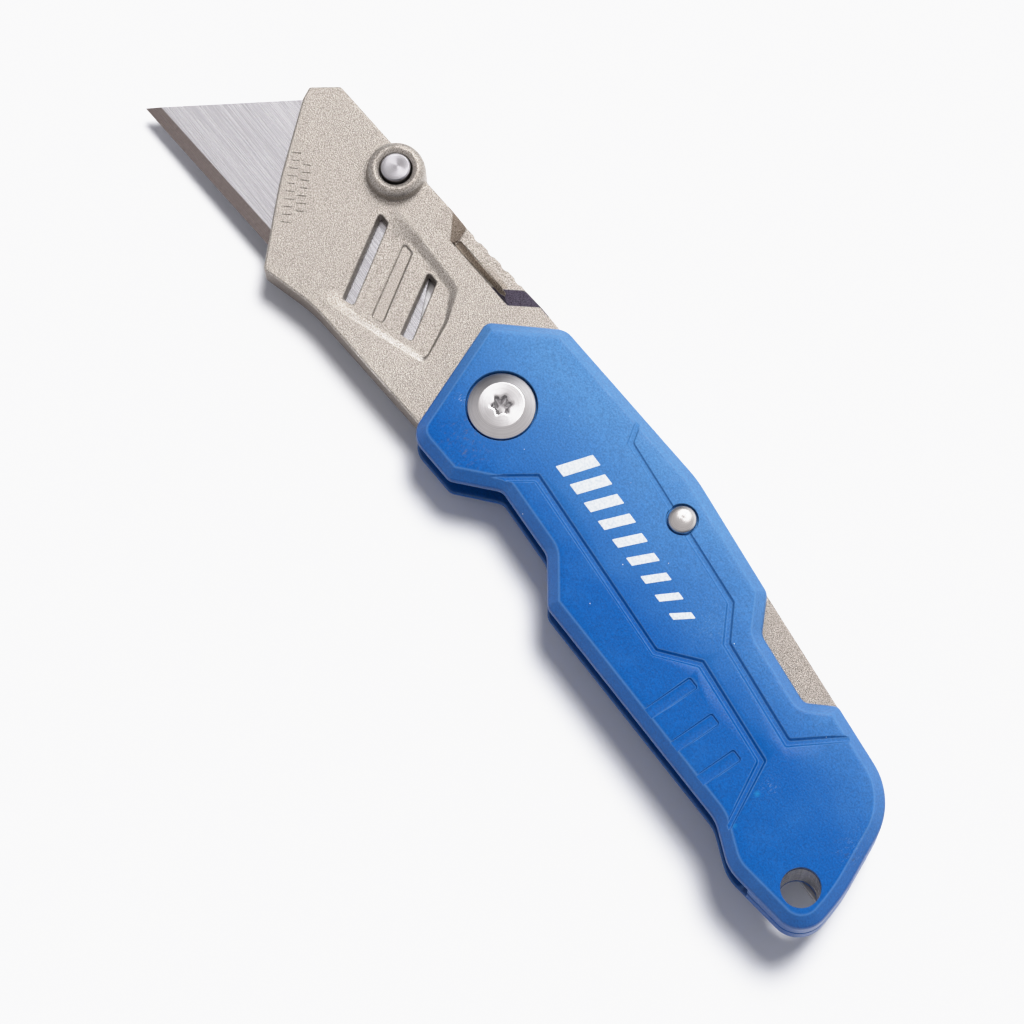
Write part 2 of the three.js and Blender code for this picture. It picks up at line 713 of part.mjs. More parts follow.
function beltClip() {
  const lower = CLIP_ROUTE.map(([x, z]) => [x, z - CLIP_THICKNESS]);
  const side = [...CLIP_ROUTE, ...lower.reverse()].map(([x, z]) => new THREE.Vector2(x, z));
  const strip = new THREE.ExtrudeGeometry(new THREE.Shape(side), {
    depth: CLIP_WIDTH + 2,
    bevelEnabled: false,
  });
  strip.rotateX(Math.PI / 2);
  strip.translate(0, CLIP_WIDTH / 2 + 1, 0);
  return cut(
    solid(strip).intersect(prism(CLIP_OUTLINE, -20, 0)),
    ...CLIP_SCREWS.map((at) => round(1.45, -20, 0, at, 20))
  );
}

addPart('belt_clip', beltClip(), springSteel());

CLIP_SCREWS.forEach((at, k) => {
  const seat = CLIP_TOP - CLIP_THICKNESS - GAP;
  const screw = cut(
    turned([
      [0, -0.8], [1.4, -0.8], [2, -0.35], [2, 0], [1.1, 0], [1.1, 3.1], [0, 3.1],
    ], [0, 0], 18),
    driveRecess(1, -2, -0.25)
  );
  addPart(`clip_screw_${k + 1}`, screw, turnedSteel()).position.set(...at, seat);
});

// ---------------------------------------------------------------- the knife on its base

const bounds = new THREE.Box3().setFromObject(knife);
const middle = bounds.getCenter(new THREE.Vector3());
knife.position.set(-middle.x, -middle.y, -bounds.min.z);

export default knife;
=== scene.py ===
"""The looks of a folding utility knife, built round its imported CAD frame.

Shapes are drawn in millimetres about the blade pivot: +X runs along the handle to its tail, +Y to
its back, +Z out of the face with the pivot screw, and z = 0 is the middle of the thickness.
Flat pieces are reliefs: a plan, an upper and a lower height function, and the lines to mesh along.
"""

import json
import math
from functools import reduce
from operator import add

import bpy
import numpy as np
from mathutils import Matrix, Vector
from mathutils.geometry import delaunay_2d_cdt


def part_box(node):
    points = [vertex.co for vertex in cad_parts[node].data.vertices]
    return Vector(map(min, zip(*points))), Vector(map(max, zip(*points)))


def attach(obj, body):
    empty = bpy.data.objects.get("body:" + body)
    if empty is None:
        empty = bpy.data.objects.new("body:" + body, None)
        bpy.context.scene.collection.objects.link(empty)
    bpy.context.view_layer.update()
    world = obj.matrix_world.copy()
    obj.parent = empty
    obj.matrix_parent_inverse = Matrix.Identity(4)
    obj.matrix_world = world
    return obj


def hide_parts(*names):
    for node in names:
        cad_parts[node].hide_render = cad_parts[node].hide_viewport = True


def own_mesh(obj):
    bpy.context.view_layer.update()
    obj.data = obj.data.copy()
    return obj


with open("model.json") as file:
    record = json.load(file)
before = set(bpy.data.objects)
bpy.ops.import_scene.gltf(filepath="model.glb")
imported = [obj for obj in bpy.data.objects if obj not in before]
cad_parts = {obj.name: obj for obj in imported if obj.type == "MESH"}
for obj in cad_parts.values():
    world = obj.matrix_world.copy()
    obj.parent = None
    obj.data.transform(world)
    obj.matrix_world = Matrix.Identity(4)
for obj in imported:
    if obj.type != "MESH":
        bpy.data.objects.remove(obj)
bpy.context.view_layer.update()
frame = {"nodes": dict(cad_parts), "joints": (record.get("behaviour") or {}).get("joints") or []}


def joint(name):
    return next(j for j in frame["joints"] if j["name"] == name)


MM = 0.001
PIVOT = Vector(joint("blade_fold")["pos_m"])
FOLD_ANGLE = math.radians(joint("blade_fold")["range_deg"][1])

# ------------------------------------------------------------------ sizes shared by several pieces

FACE = 6.0  # from the middle out to a shell's face, and CHANNEL to its inner side
CHANNEL = 3.0
GAP = 0.3  # clearance between pieces
HOLDER_FACE = 2.5
POCKET = 0.6  # from the middle out to the roof of the blade's pocket and to the cover's seat

BLADE_LENGTH, BLADE_WIDTH, BLADE_HALF = 61.0, 19.0, 0.3
BLADE_BEVEL = 1.85
BLADE_POINT = math.radians(52.05)
BLADE_RUN = BLADE_WIDTH / math.tan(BLADE_POINT)
BLADE_TIP = (-72.12, -15.06)
BLADE_TILT = math.radians(4.8)

PIVOT_HEAD = 5.1
PIVOT_HOLE = 3.9
TANG_RADIUS = 9.5
WASHER_SEAT = 7.3
WASHER_SEAT_FACE = 1.9
RIVET = (29.8, 11.2)
RIVET_HEAD = 2.15
STOP_PIN = (1, 12.4)
LANYARD = (83.7, -7.75)
LANYARD_RADIUS = 2.92
BUTTON = (-40.1, 9.3)
BUTTON_RADIUS = 2.25
BUTTON_BORE = 2.5
BUTTON_WELL = 3.4
COLLAR = 0.9  # thickness of the wall round the button's well
COVER_BORE = BUTTON_WELL + 1.2
BOSS_RADIUS = 4.6
CLIP_SCREWS = [(77.4, -2.7), (77.4, 2.7), (83, 0)]
CLIP_HOLE = 1.45
CLIP_THICKNESS = 0.9
SHELL_SCREW = (72.8, 8.9)
COVER_SCREWS = [(-51, 7.5), (-20.2, 8), (-12.6, -4.4)]
COVER_HOLE = 1.3


# ------------------------------------------------------------------ plans and distances

def outline(corners, inset=0.0, fineness=4.0):
    """Points round an anticlockwise outline of (x, y, fillet radius) corners, moved in by inset."""
    points = []
    count = len(corners)
    for i, (x, y, radius) in enumerate(corners):
        here = Vector((x, y))
        into = (here - Vector(corners[i - 1][:2])).normalized()
        out = (Vector(corners[(i + 1) % count][:2]) - here).normalized()
        turn = math.atan2(into.cross(out), into.dot(out))
        inward = Vector((-into.y - out.y, into.x + out.x)).normalized()
        corner = here + inward * (inset / math.cos(turn / 2))
        if radius == 0:
            points.append(corner)
            continue
        side = math.copysign(1, turn)
        arc = max(radius - side * inset, 0.02)
        start = corner - into * arc * math.tan(abs(turn) / 2)
        centre = start + Vector((-into.y, into.x)) * side * arc
        steps = max(2, math.ceil(abs(turn) * math.sqrt(radius) * fineness))
        for k in range(steps + 1):
            points.append(centre + Matrix.Rotation(turn * k / steps, 2) @ (start - centre))
    return np.array([(p.x, p.y) for p in points])


def square(corners):
    return [(x, y, 0) for x, y in corners]


def band(route, width):
    """The corners of a band of that width along a route."""
    fillet = 0.5
    sides = []
    for offset in (-width / 2, width / 2):
        side = []
        for i, (x, y) in enumerate(route):
            before, after = route[max(i - 1, 0)], route[min(i + 1, len(route) - 1)]
            into, out = Vector((x - before[0], y - before[1])), Vector((after[0] - x, after[1] - y))
            into = (into if i else out).normalized()
            out = (out if i < len(route) - 1 else into).normalized()
            left = (into + out).normalized()
            reach = offset / math.cos(math.atan2(into.cross(out), into.dot(out)) / 2)
            inner = 0 < i < len(route) - 1
            side.append((x - left.y * reach, y + left.x * reach, fillet if inner else 0))
        sides.append(side)
    return sides[0] + sides[1][::-1]


def circle(centre, radius, count):
    turn = np.arange(count) * 2 * math.pi / count
    return np.column_stack((centre[0] + radius * np.cos(turn), centre[1] + radius * np.sin(turn)))


def turned(points, angle):
    """Points turned about the pivot."""
    spin = np.array([[math.cos(angle), -math.sin(angle)], [math.sin(angle), math.cos(angle)]])
    return np.asarray(points) @ spin.T


def distance_to(loop):
    """A function of points that gives how far outside the closed loop each one is."""
    starts, ends = np.asarray(loop), np.roll(loop, -1, 0)

    def distance(points):
        x, y = points[:, 0], points[:, 1]
        nearest = np.full(len(points), np.inf)
        inside = np.zeros(len(points), bool)
        for (ax, ay), (bx, by) in zip(starts, ends):
            dx, dy = bx - ax, by - ay
            length = dx * dx + dy * dy
            if length < 1e-16:
                continue
            px, py = x - ax, y - ay
            along = np.clip((px * dx + py * dy) / length, 0, 1)
            gap = (px - along * dx) ** 2 + (py - along * dy) ** 2
            np.minimum(nearest, gap, out=nearest)
            if dy:
                inside ^= ((ay > y) != (by > y)) & (px < py * dx / dy)
        return np.where(inside, -1, 1) * np.sqrt(nearest)

    return distance


def clear_of(corners, fineness=4.0):
    """A function of points that gives how far outside the outline of corners each one is."""
    return distance_to(outline(corners, 0, fineness))


def radius_from(centre):
    return lambda points: np.hypot(points[:, 0] - centre[0], points[:, 1] - centre[1])


def insets(corners, distances, fineness=4.0):
    return [outline(corners, distance, fineness) for distance in distances]


def rings(centre, radius, steps, count):
    return [circle(centre, radius + step, count) for step in steps]


def level(height):
    """A height function that is the same everywhere."""
    return lambda points: np.full(len(points), height)


def profile(*points, blur):
    """A function through (distance, height) points, with its corners blurred over that distance."""
    step = 0.005
    at = np.arange(points[0][0] - 1, points[-1][0] + 1, step)
    height = np.interp(at, *zip(*points))
    reach = max(1, round(blur / step))
    kernel = np.ones(2 * reach + 1) / (2 * reach + 1)
    smooth = np.convolve(np.pad(height, reach, mode="edge"), kernel, "valid")
    return lambda distance: np.interp(distance, at, smooth)


def edge_round(radius):
    """Drop of a rounded edge, by distance in from it."""
    def drop(distance):
        left = np.clip(radius - distance, 0, radius)
        return radius - np.sqrt(np.maximum(radius**2 - left**2, 0))
    return drop


# ------------------------------------------------------------------ meshes

class Solid:
    """Vertices, faces and a normal for each face corner, in millimetres about the pivot."""

    def __init__(self, vertices, faces, normals):
        self.vertices, self.faces, self.normals = vertices, faces, normals

    def __add__(self, other):
        shift = len(self.vertices)
        faces = self.faces + [tuple(i + shift for i in f) for f in other.faces]
        return Solid(np.vstack((self.vertices, other.vertices)), faces,
                     np.vstack((self.normals, other.normals)))

    def flipped(self):
        """Its mirror image in z = 0."""
        corner_ends = np.cumsum([len(f) for f in self.faces])
        order = np.concatenate([np.arange(end - len(f), end)[::-1]
                                for end, f in zip(corner_ends, self.faces)])
        flip = np.array([1, 1, -1])
        return Solid(self.vertices * flip, [f[::-1] for f in self.faces],
                     self.normals[order] * flip)


def slopes(height, triangles, points):
    """Upward normals of a height function at the corners of triangles, taken just inside each."""
    corners = points[triangles]
    centres = corners.mean(1, keepdims=True)
    away = centres - corners
    reach = np.linalg.norm(away, axis=2, keepdims=True) + 1e-9
    probes = (corners + away / reach * np.minimum(reach * 0.2, 0.012)).reshape(-1, 2)
    step = 0.003
    here = height(probes)
    across = (height(probes + (step, 0)) - here) / step
    along = (height(probes + (0, step)) - here) / step
    normals = np.column_stack((-across, -along, np.ones(len(probes))))
    return normals / np.linalg.norm(normals, axis=1, keepdims=True)


def relief(inside, top, bottom, loops, lines=(), pitch=2.5):
    """A solid over the part of the plane where inside(points) is negative."""
    points, edges = [], []
    for path, closed in [(p, True) for p in loops] + [(p, False) for p in lines]:
        first = len(points)
        points.extend(map(tuple, path))
        edges.extend((first + k, first + k + 1) for k in range(len(path) - 1))
        if closed:
            edges.append((len(points) - 1, first))
    low, high = np.min(points, 0), np.max(points, 0)
    for row, y in enumerate(np.arange(low[1], high[1], pitch * 0.87)):
        for x in np.arange(low[0] + (row % 2) * pitch / 2, high[0], pitch):
            points.append((x, y))
    made = delaunay_2d_cdt([Vector(p) for p in points], edges, [], 0, 1e-4, False)
    plan = np.array([(v.x, v.y) for v in made[0]])
    triangles = np.array(made[2])
    triangles = triangles[inside(plan[triangles].mean(1)) < 0]
    a, b, c = (plan[triangles[:, k]] for k in range(3))
    area = (b[:, 0] - a[:, 0]) * (c[:, 1] - a[:, 1]) - (b[:, 1] - a[:, 1]) * (c[:, 0] - a[:, 0])
    triangles[area < 0] = triangles[area < 0][:, ::-1]
    used, triangles = np.unique(triangles, return_inverse=True)
    triangles = triangles.reshape(-1, 3)
    plan = plan[used]
    count = len(plan)

    upper = np.column_stack((plan, top(plan)))
    lower = np.column_stack((plan, bottom(plan)))
    up = slopes(top, triangles, plan)
    down = -slopes(bottom, triangles, plan).reshape(-1, 3, 3)[:, ::-1].reshape(-1, 3)

    directed = {(int(t[k]), int(t[(k + 1) % 3])) for t in triangles for k in range(3)}
    rim = sorted(e for e in directed if e[::-1] not in directed)
    outward = {}
    for p, q in rim:
        along = plan[q] - plan[p]
        outward[p, q] = np.array((along[1], -along[0], 0)) / (np.hypot(*along) + 1e-12)
    after, before = {p: (p, q) for p, q in rim}, {q: (p, q) for p, q in rim}

    def wall_normal(vertex, edge):
        pair = [outward[e[vertex]] for e in (before, after) if vertex in e]
        own = outward[edge]
        near = sum(n for n in pair if n @ own > 0.8)
        return near / np.linalg.norm(near)

    walls, wall_normals = [], []
    for p, q in rim:
        walls.append((p, p + count, q + count, q))
        start, end = wall_normal(p, (p, q)), wall_normal(q, (p, q))
        wall_normals += [start, start, end, end]
    faces = [tuple(map(int, t)) for t in triangles]
    faces += [tuple(int(i) + count for i in t[::-1]) for t in triangles]
    return Solid(np.vstack((upper, lower)), faces + walls,
                 np.vstack((up, down, np.array(wall_normals))))


def soften(line, radius):
    """An open (radius, z) line with its corners rounded."""
    steps = 3
    made = [line[0]]
    for before, corner, after in zip(line, line[1:], line[2:]):
        here = Vector(corner)
        back, ahead = Vector(before) - here, Vector(after) - here
        cut = min(radius, back.length * 0.45, ahead.length * 0.45)
        start, end = here + back.normalized() * cut, here + ahead.normalized() * cut
        for k in range(steps + 1):
            t = k / steps
            p = start * (1 - t) ** 2 + here * 2 * t * (1 - t) + end * t**2
            made.append((p.x, p.y))
    return made + [line[-1]]


def six_lobe(radius, turn):
    """Reach of a six-lobed drive recess in a direction."""
    return radius * (0.845 + 0.15 * np.cos(6 * turn) + 0.012 * np.cos(12 * turn))


def turning(line, segments=96, drive=0.0, drive_depth=1.2):
    """A turned solid round Z from (radius, z) points, lowest first. With drive, its top has a recess."""
    turn = np.arange(segments) * 2 * math.pi / segments
    hoops = [(np.full(segments, radius), z) for radius, z in line]
    if drive:
        high = line[-1][1]
        reach = six_lobe(drive, turn)
        hoops.pop()
        hoops += [
            (reach + 0.45, high), (reach + 0.1, high), (reach + 0.03, high - 0.03),
            (reach, high - 0.1), (reach * 0.97, high - drive_depth),
            (reach * 0.6, high - drive_depth - 0.5), (reach * 0, high - drive_depth - 1.1),
        ]
    vertices, index = [], []
    for reach, z in hoops:
        if np.max(reach) < 1e-6:
            index.append([len(vertices)] * segments)
            vertices.append((0, 0, z))
        else:
            index.append(list(range(len(vertices), len(vertices) + segments)))
            vertices += [(r * math.cos(a), r * math.sin(a), z) for r, a in zip(reach, turn)]
    faces = []
    for lower, upper in zip(index, index[1:]):
        for k in range(segments):
            n = (k + 1) % segments
            face = dict.fromkeys((lower[k], lower[n], upper[n], upper[k]))
            if len(face) > 2:
                faces.append(tuple(face))
    return np.array(vertices, float), faces


def add_piece(name, body, shape, look, nodes, at=(0, 0), angle=0.0):
    """A piece of the knife, turned by angle about Z and then moved to `at`."""
    made_as_solid = isinstance(shape, Solid)
    vertices, faces = (shape.vertices, shape.faces) if made_as_solid else shape
    spin = np.array(Matrix.Rotation(angle, 3, "Z")).T
    mesh = bpy.data.meshes.new(name)
    mesh.from_pydata((vertices @ spin * MM).tolist(), [], faces)
    mesh.shade_smooth()
    if made_as_solid:
        mesh.normals_split_custom_set((shape.normals @ spin).tolist())
    else:
        mesh.set_sharp_from_angle(angle=math.radians(32))
    mesh.materials.append(look)
    piece = bpy.data.objects.new(name, mesh)
    bpy.context.scene.collection.objects.link(piece)
    piece.location = PIVOT + Vector(at).to_3d() * MM
    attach(piece, body)
    if nodes:
        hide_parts(*nodes)
    return piece


# ------------------------------------------------------------------ materials

class Nodes:
    """Shader nodes under construction. An input takes a number, a vector, a colour or a socket."""

    def __init__(self, tree):
        self.tree = tree

    def feed(self, socket, value):
        if isinstance(value, bpy.types.NodeSocket):
            self.tree.links.new(value, socket)
        else:
            socket.default_value = value

    def outputs(self, kind, inputs, **settings):
        """All the outputs of a new node."""
        made = self.tree.nodes.new(kind)
        for key, value in settings.items():
            setattr(made, key, value)
        for key, value in inputs.items():
            self.feed(made.inputs[key], value)
        return made.outputs

    def node(self, kind, inputs, output=0, **settings):
        return self.outputs(kind, inputs, **settings)[output]

    def math(self, operation, *values):
        return self.node("ShaderNodeMath", dict(enumerate(values)), operation=operation)

    def vector(self, operation, *values, output="Vector"):
        return self.node("ShaderNodeVectorMath", dict(enumerate(values)), output,
                         operation=operation)

    def axis(self, vector, k):
        return self.node("ShaderNodeSeparateXYZ", {0: vector}, k)

    def between(self, value, low, high, to_low=0.0, to_high=1.0, **settings):
        """value from low to high taken to a new range, and held at its ends."""
        return self.node("ShaderNodeMapRange", {
            "Value": value, "From Min": low, "From Max": high, "To Min": to_low, "To Max": to_high,
        }, **settings)

    def mix(self, factor, first, second):
        """The first colour where the factor is 0 and the second where it is 1."""
        first, second = [(*c, 1) if isinstance(c, tuple) else c for c in (first, second)]
        colour_inputs = {0: factor, 6: first, 7: second}
        return self.node("ShaderNodeMix", colour_inputs, 2, data_type="RGBA")

    def graded(self, value, low, high, first, second, most=1.0):
        """The first colour where value is low, and as much of the second as `most` where it is high."""
        return self.mix(self.between(value, low, high, 0, most), first, second)


class Look(Nodes):
    """A material under construction. Texture scales are given as the size of a feature in mm."""

    def __init__(self, name, colour, roughness, metallic=0.0):
        self.material = bpy.data.materials.new(name)
        self.material.use_nodes = True
        super().__init__(self.material.node_tree)
        self.shader = self.tree.nodes["Principled BSDF"]
        self.set("Base Color", (*colour, 1))
        self.set("Roughness", roughness)
        self.set("Metallic", metallic)
        coordinates = self.outputs("ShaderNodeTexCoord", {})
        self.place, self.facing = coordinates["Object"], coordinates["Normal"]

    def set(self, socket, value):
        self.feed(self.shader.inputs[socket], value)

    def noise(self, size, detail=2.0, roughness=0.5, stretch=None, turn=0.0):
        place = self.place
        if stretch:
            place = self.node("ShaderNodeVectorRotate", {"Vector": place, "Angle": turn},
                              rotation_type="Z_AXIS")
            place = self.vector("MULTIPLY", place, [1 / s for s in stretch])
        return self.node("ShaderNodeTexNoise", {
            "Vector": place, "Scale": 1 / (size * MM), "Detail": detail, "Roughness": roughness,
        })

    def bump(self, *layers):
        """Layers of (height, strength, depth in mm), the broadest first."""
        below = {}
        for height, strength, depth in layers:
            inputs = {"Height": height, "Strength": strength, "Distance": depth * MM, **below}
            below = {"Normal": self.node("ShaderNodeBump", inputs)}
        self.set("Normal", below["Normal"])

    def spot(self, centre, radius, softness):
        """1 near a point given in mm, 0 beyond the radius."""
        away = self.vector("DISTANCE", self.place, [c * MM for c in centre], output="Value")
        return self.between(away, radius * MM, radius * MM * (1 - softness))

    def radius(self):
        """Distance from the piece's own Z axis."""
        flat = self.vector("MULTIPLY", self.place, (1, 1, 0))
        return self.vector("LENGTH", flat, output="Value")


def nylon(name):
    look = Look(name, (0.01, 0.09, 0.31), 0.46)
    broad = look.noise(9, 3, 0.6)
    fine = look.noise(0.3, 3, 0.7)
    # painted sheen: the face is painted paler towards its back edge and its pivot end, for the sheen the
    # light gives there, with broad random tone on top
    across = look.vector("DOT_PRODUCT", look.place, (-0.13, 1, 0), output="Value")
    painted_sheen_and_tone = look.math("ADD", look.between(across, -9 * MM, 11 * MM),
                      look.between(broad, 0.3, 0.7, -0.1, 0.1))
    colour = look.mix(painted_sheen_and_tone, (0.0, 0.067, 0.276), (0.048, 0.161, 0.375))
    shade = look.between(fine, 0.3, 0.7, 0.72, 1.28)
    colour = look.node("ShaderNodeVectorMath", {0: colour, "Scale": shade}, operation="SCALE")
    # rubbed places, stress marks along the groove, and grime
    for centre, radius, grain, tint, strength in [
        ((69.3, -2.6, FACE), 2.0, 0.22, (0.3, 0.4, 0.55), 0.3),
        ((84.5, 2.5, FACE), 4.5, 0.22, (0.2, 0.3, 0.45), 0.35),
        ((-4.4, -4.4, FACE), 1.3, 0.2, (0.4, 0.5, 0.62), 0.6),
        ((45, 5.5, FACE), 6, 0.22, (0.16, 0.3, 0.5), 0.3),
        ((1.5, -7.6, FACE), 5.5, 0.35, (0.07, 0.08, 0.13), 0.8),
        ((84, 0.6, FACE), 4.0, 0.8, (0.02, 0.04, 0.09), 0.7),
    ]:
        speckle = look.between(look.noise(grain, 3, 0.7, stretch=(1, 2.5, 1)), 0.56, 0.68)
        amount = look.math("MULTIPLY", look.spot(centre, radius, 0.9), speckle)
        colour = look.mix(look.math("MULTIPLY", amount, strength), colour, tint)
    # two turquoise spots beside the lower groove
    for centre, radius in [((69.1, -4.6, FACE), 0.6), ((70.9, -10, FACE), 0.5)]:
        amount = look.math("MULTIPLY", look.spot(centre, radius, 0.9), 0.5)
        colour = look.mix(amount, colour, (0.01, 0.2, 0.45))
    # painted highlight: steep faces such as chamfers and groove walls are painted paler than the flats,
    # for the light they catch
    upright = look.math("ABSOLUTE", look.axis(look.facing, 2))
    painted_edge_highlight = look.math("MULTIPLY", look.between(upright, 0.6, 0.85),
                       look.between(upright, 0.985, 0.94))
    colour = look.mix(look.math("MULTIPLY", painted_edge_highlight, 0.35), colour, (0.12, 0.25, 0.48))
    # dust: a tiny pale speck in the middle of some of the cells
    cells = look.outputs("ShaderNodeTexVoronoi", {"Vector": look.place, "Scale": 1 / (1.9 * MM)})
    chosen = look.node("ShaderNodeSeparateColor", {0: cells["Color"]})
    near = look.between(cells["Distance"], 0.045, 0.02)
    speck = look.math("MULTIPLY", near, look.between(chosen, 0.82, 0.84))
    look.set("Base Color", look.mix(speck, colour, (0.75, 0.8, 0.88)))
    look.set("Roughness", look.between(look.noise(3, 3), 0.3, 0.7, 0.3, 0.4))
    look.set("Specular IOR Level", 0.2)
    look.bump((look.noise(6, 2), 0.25, 0.03), (fine, 0.6, 0.05), (speck, 0.6, 0.05))
    return look.material


# Painted shade and painted highlights in the cast metal's colour: boxes that darken it where shade falls
# or dark surroundings are reflected, or brighten it for a highlight
PAINTED_LIGHT_BOXES = [  # (low, high, softness) in x, y and z, in mm, and the tint that multiplies the metal
    # painted shade: the ramp's right slope, for the dark surroundings it reflects
    ((-16.9, -8, 0.03), (10.2, 17, 0.03), (1.33, 2.46, 0.03), (0.15, 0.135, 0.22)),  # ramp, right
    # painted shade: the ramp's left slope, in brown
    ((-31, -25.6, 0.05), (9.3, 16, 0.05), (1.38, 2.46, 0.05), (0.5, 0.44, 0.39)),  # ramp, left
    # painted shade: the floor of the ramp's groove
    ((-27, -13.2, 0.03), (9.5, 12.4, 0.03), (0.5, 1.27, 0.03), (0.6, 0.54, 0.48)),  # ramp's groove
    # painted shade: the holder's lower wall, for the shadowed table it reflects
    ((-60, -3, 0.08), (-17, -10.3, 0.08), (-2.3, 2.25, 0.08), (0.42, 0.37, 0.34)),  # lower wall
    # painted highlight: the panel's lower slope, brightened for the light it catches
    ((-24.5, -12.5, 4), (-12.2, -4.5, 0.05), (2.14, 2.46, 0.05), (1.45, 1.48, 1.52)),  # panel's slope
    # painted shade: the lock bar, which sits deep below the handle's face
    ((40, 70, 2), (5, 17, 0.5), (-3, 3, 0.1), (0.86, 0.85, 0.85)),  # lock bar
]
CRISP = 0.1  # a painted box's high side is never softer than this


def cast_metal(name):
    look = Look(name, (0.6, 0.55, 0.49), 0.5, 0.85)
    grain = look.noise(0.155, 2, 0.7)
    broad = look.noise(5, 2)
    colour = look.graded(grain, 0.36, 0.66, (0.14, 0.118, 0.097), (0.65, 0.602, 0.555))
    colour = look.graded(broad, 0.3, 0.7, colour, (0.35, 0.32, 0.29), most=0.14)
    place = [look.axis(look.place, k) for k in range(3)]
    # paint each box's shade or highlight into the metal's colour
    for *box, tint in PAINTED_LIGHT_BOXES:
        amount = 1
        for at, (low, high, soft) in zip(place, box):
            for edge, inward in [(low, soft), (high, -min(soft, CRISP))]:
                share = look.between(at, (edge - inward) * MM, (edge + inward) * MM)
                amount = look.math("MULTIPLY", amount, share)
        colour = look.mix(amount, colour, look.vector("MULTIPLY", colour, tint))
    look.set("Base Color", colour)
    look.set("Roughness", look.between(grain, 0.3, 0.7, 0.34, 0.46))
    look.bump((look.noise(4, 2), 0.3, 0.03), (grain, 1.0, 0.06))
    return look.material


def blade_steel(name):
    look = Look(name, (0.66, 0.66, 0.69), 0.32, 1.0)
    look.place = look.node("ShaderNodeVectorRotate", {"Vector": look.place, "Angle": -BLADE_TILT},
                           rotation_type="Z_AXIS")
    streaks = look.noise(0.12, 3, 0.6, stretch=(90, 1, 1), turn=math.radians(3))
    long_streaks = look.noise(0.5, 3, 0.7, stretch=(40, 1, 1), turn=math.radians(2))
    cross = look.noise(0.1, 2, 0.5, stretch=(1, 60, 1), turn=math.radians(-4))
    height = look.axis(look.place, 1)
    ground = look.between(height, (BLADE_BEVEL + 0.04) * MM, (BLADE_BEVEL - 0.04) * MM)
    flat = look.graded(streaks, 0.3, 0.7, (0.5, 0.495, 0.52), (0.62, 0.615, 0.64))
    flat = look.graded(long_streaks, 0.35, 0.65, flat, (0.47, 0.465, 0.5), most=0.35)
    # painted shade: the cross-ground bevel is painted much darker than the flat, for the dark
    # surroundings it reflects
    bevel = look.graded(cross, 0.3, 0.7, (0.19, 0.16, 0.155), (0.28, 0.24, 0.23))
    look.set("Base Color", look.mix(ground, flat, bevel))
    look.set("Roughness", look.between(streaks, 0.3, 0.7, 0.22, 0.3))
    brushed = look.mix(ground, streaks, cross)
    look.bump((long_streaks, 0.1, 0.02), (brushed, 0.22, 0.012))
    return look.material


def turned_steel(name, colour=(0.66, 0.65, 0.66), roughness=0.3, ridges=0.6):
    look = Look(name, colour, roughness, 1.0)
    lines = look.node("ShaderNodeTexNoise", {
        "W": look.math("MULTIPLY", look.radius(), 1 / (0.11 * MM)), "Scale": 1.0, "Detail": 3.0,
        "Roughness": 0.6,
    }, noise_dimensions="1D")
    patches = look.noise(1.3, 3, 0.6)
    dark, bright = (tuple(min(c * share, 1) for c in colour) for share in (0.8, 1.08))
    tone = look.graded(lines, 0.3, 0.7, dark, bright)
    look.set("Base Color", look.graded(patches, 0.4, 0.75, tone, dark, most=0.25))
    look.set("Roughness", look.between(patches, 0.3, 0.7, roughness - 0.02, roughness + 0.06))
    look.set("Anisotropic", 0.6)
    look.set("Tangent", look.node("ShaderNodeTangent", {}, direction_type="RADIAL", axis="Z"))
    look.bump((lines, ridges, 0.012))
    return look.material


def satin_steel(name, colour, roughness, along="X", line=0.12):
    look = Look(name, colour, roughness, 1.0)
    hairline = look.noise(line, 3, 0.6, stretch=(50, 1, 1) if along == "X" else (1, 1, 50))
    blotch = look.noise(3, 3, 0.6)
    dark, bright = (tuple(c * share for c in colour) for share in (0.72, 1.12))
    tone = look.graded(hairline, 0.3, 0.7, dark, bright)
    look.set("Base Color", look.graded(blotch, 0.4, 0.7, tone, dark, most=0.35))
    look.set("Roughness", look.between(blotch, 0.3, 0.7, roughness - 0.06, roughness + 0.08))
    look.bump((blotch, 0.12, 0.04), (hairline, 0.3, 0.015))
    return look.material


def plain_brass(name):
    look = Look(name, (0.7, 0.5, 0.25), 0.38, 1.0)
    worn = look.noise(0.8, 3, 0.6)
    look.set("Base Color", look.mix(worn, (0.72, 0.52, 0.27), (0.5, 0.34, 0.17)))
    look.bump((worn, 0.2, 0.02))
    return look.material


def pad_print(name):
    look = Look(name, (0.45, 0.48, 0.52), 0.5)
    patchy = look.noise(0.35, 3, 0.65)
    look.set("Base Color", look.graded(patchy, 0.35, 0.6, (0.43, 0.47, 0.53), (0.6, 0.63, 0.67)))
    look.bump((look.noise(0.22, 2), 0.4, 0.03))
    return look.material


NYLON = nylon("moulded_nylon")
CAST = cast_metal("cast_metal")
BLADE = blade_steel("blade_steel")
TURNED = turned_steel("turned_steel")
BUTTON_STEEL = turned_steel("button_steel", (0.4, 0.39, 0.41), 0.34)
RIVET_STEEL = turned_steel("rivet_steel", (0.62, 0.6, 0.59), 0.36, 0.15)
DARK_STEEL = satin_steel("dark_spring_steel", (0.34, 0.34, 0.36), 0.38)
COVER_STEEL = satin_steel("cover_steel", (0.6, 0.59, 0.6), 0.34)
TUBE_STEEL = satin_steel("tube_steel", (0.66, 0.64, 0.64), 0.24, along="Z", line=0.35)
BRASS = plain_brass("washer_brass")
PRINT = pad_print("white_print")


# ------------------------------------------------------------------ handle shells

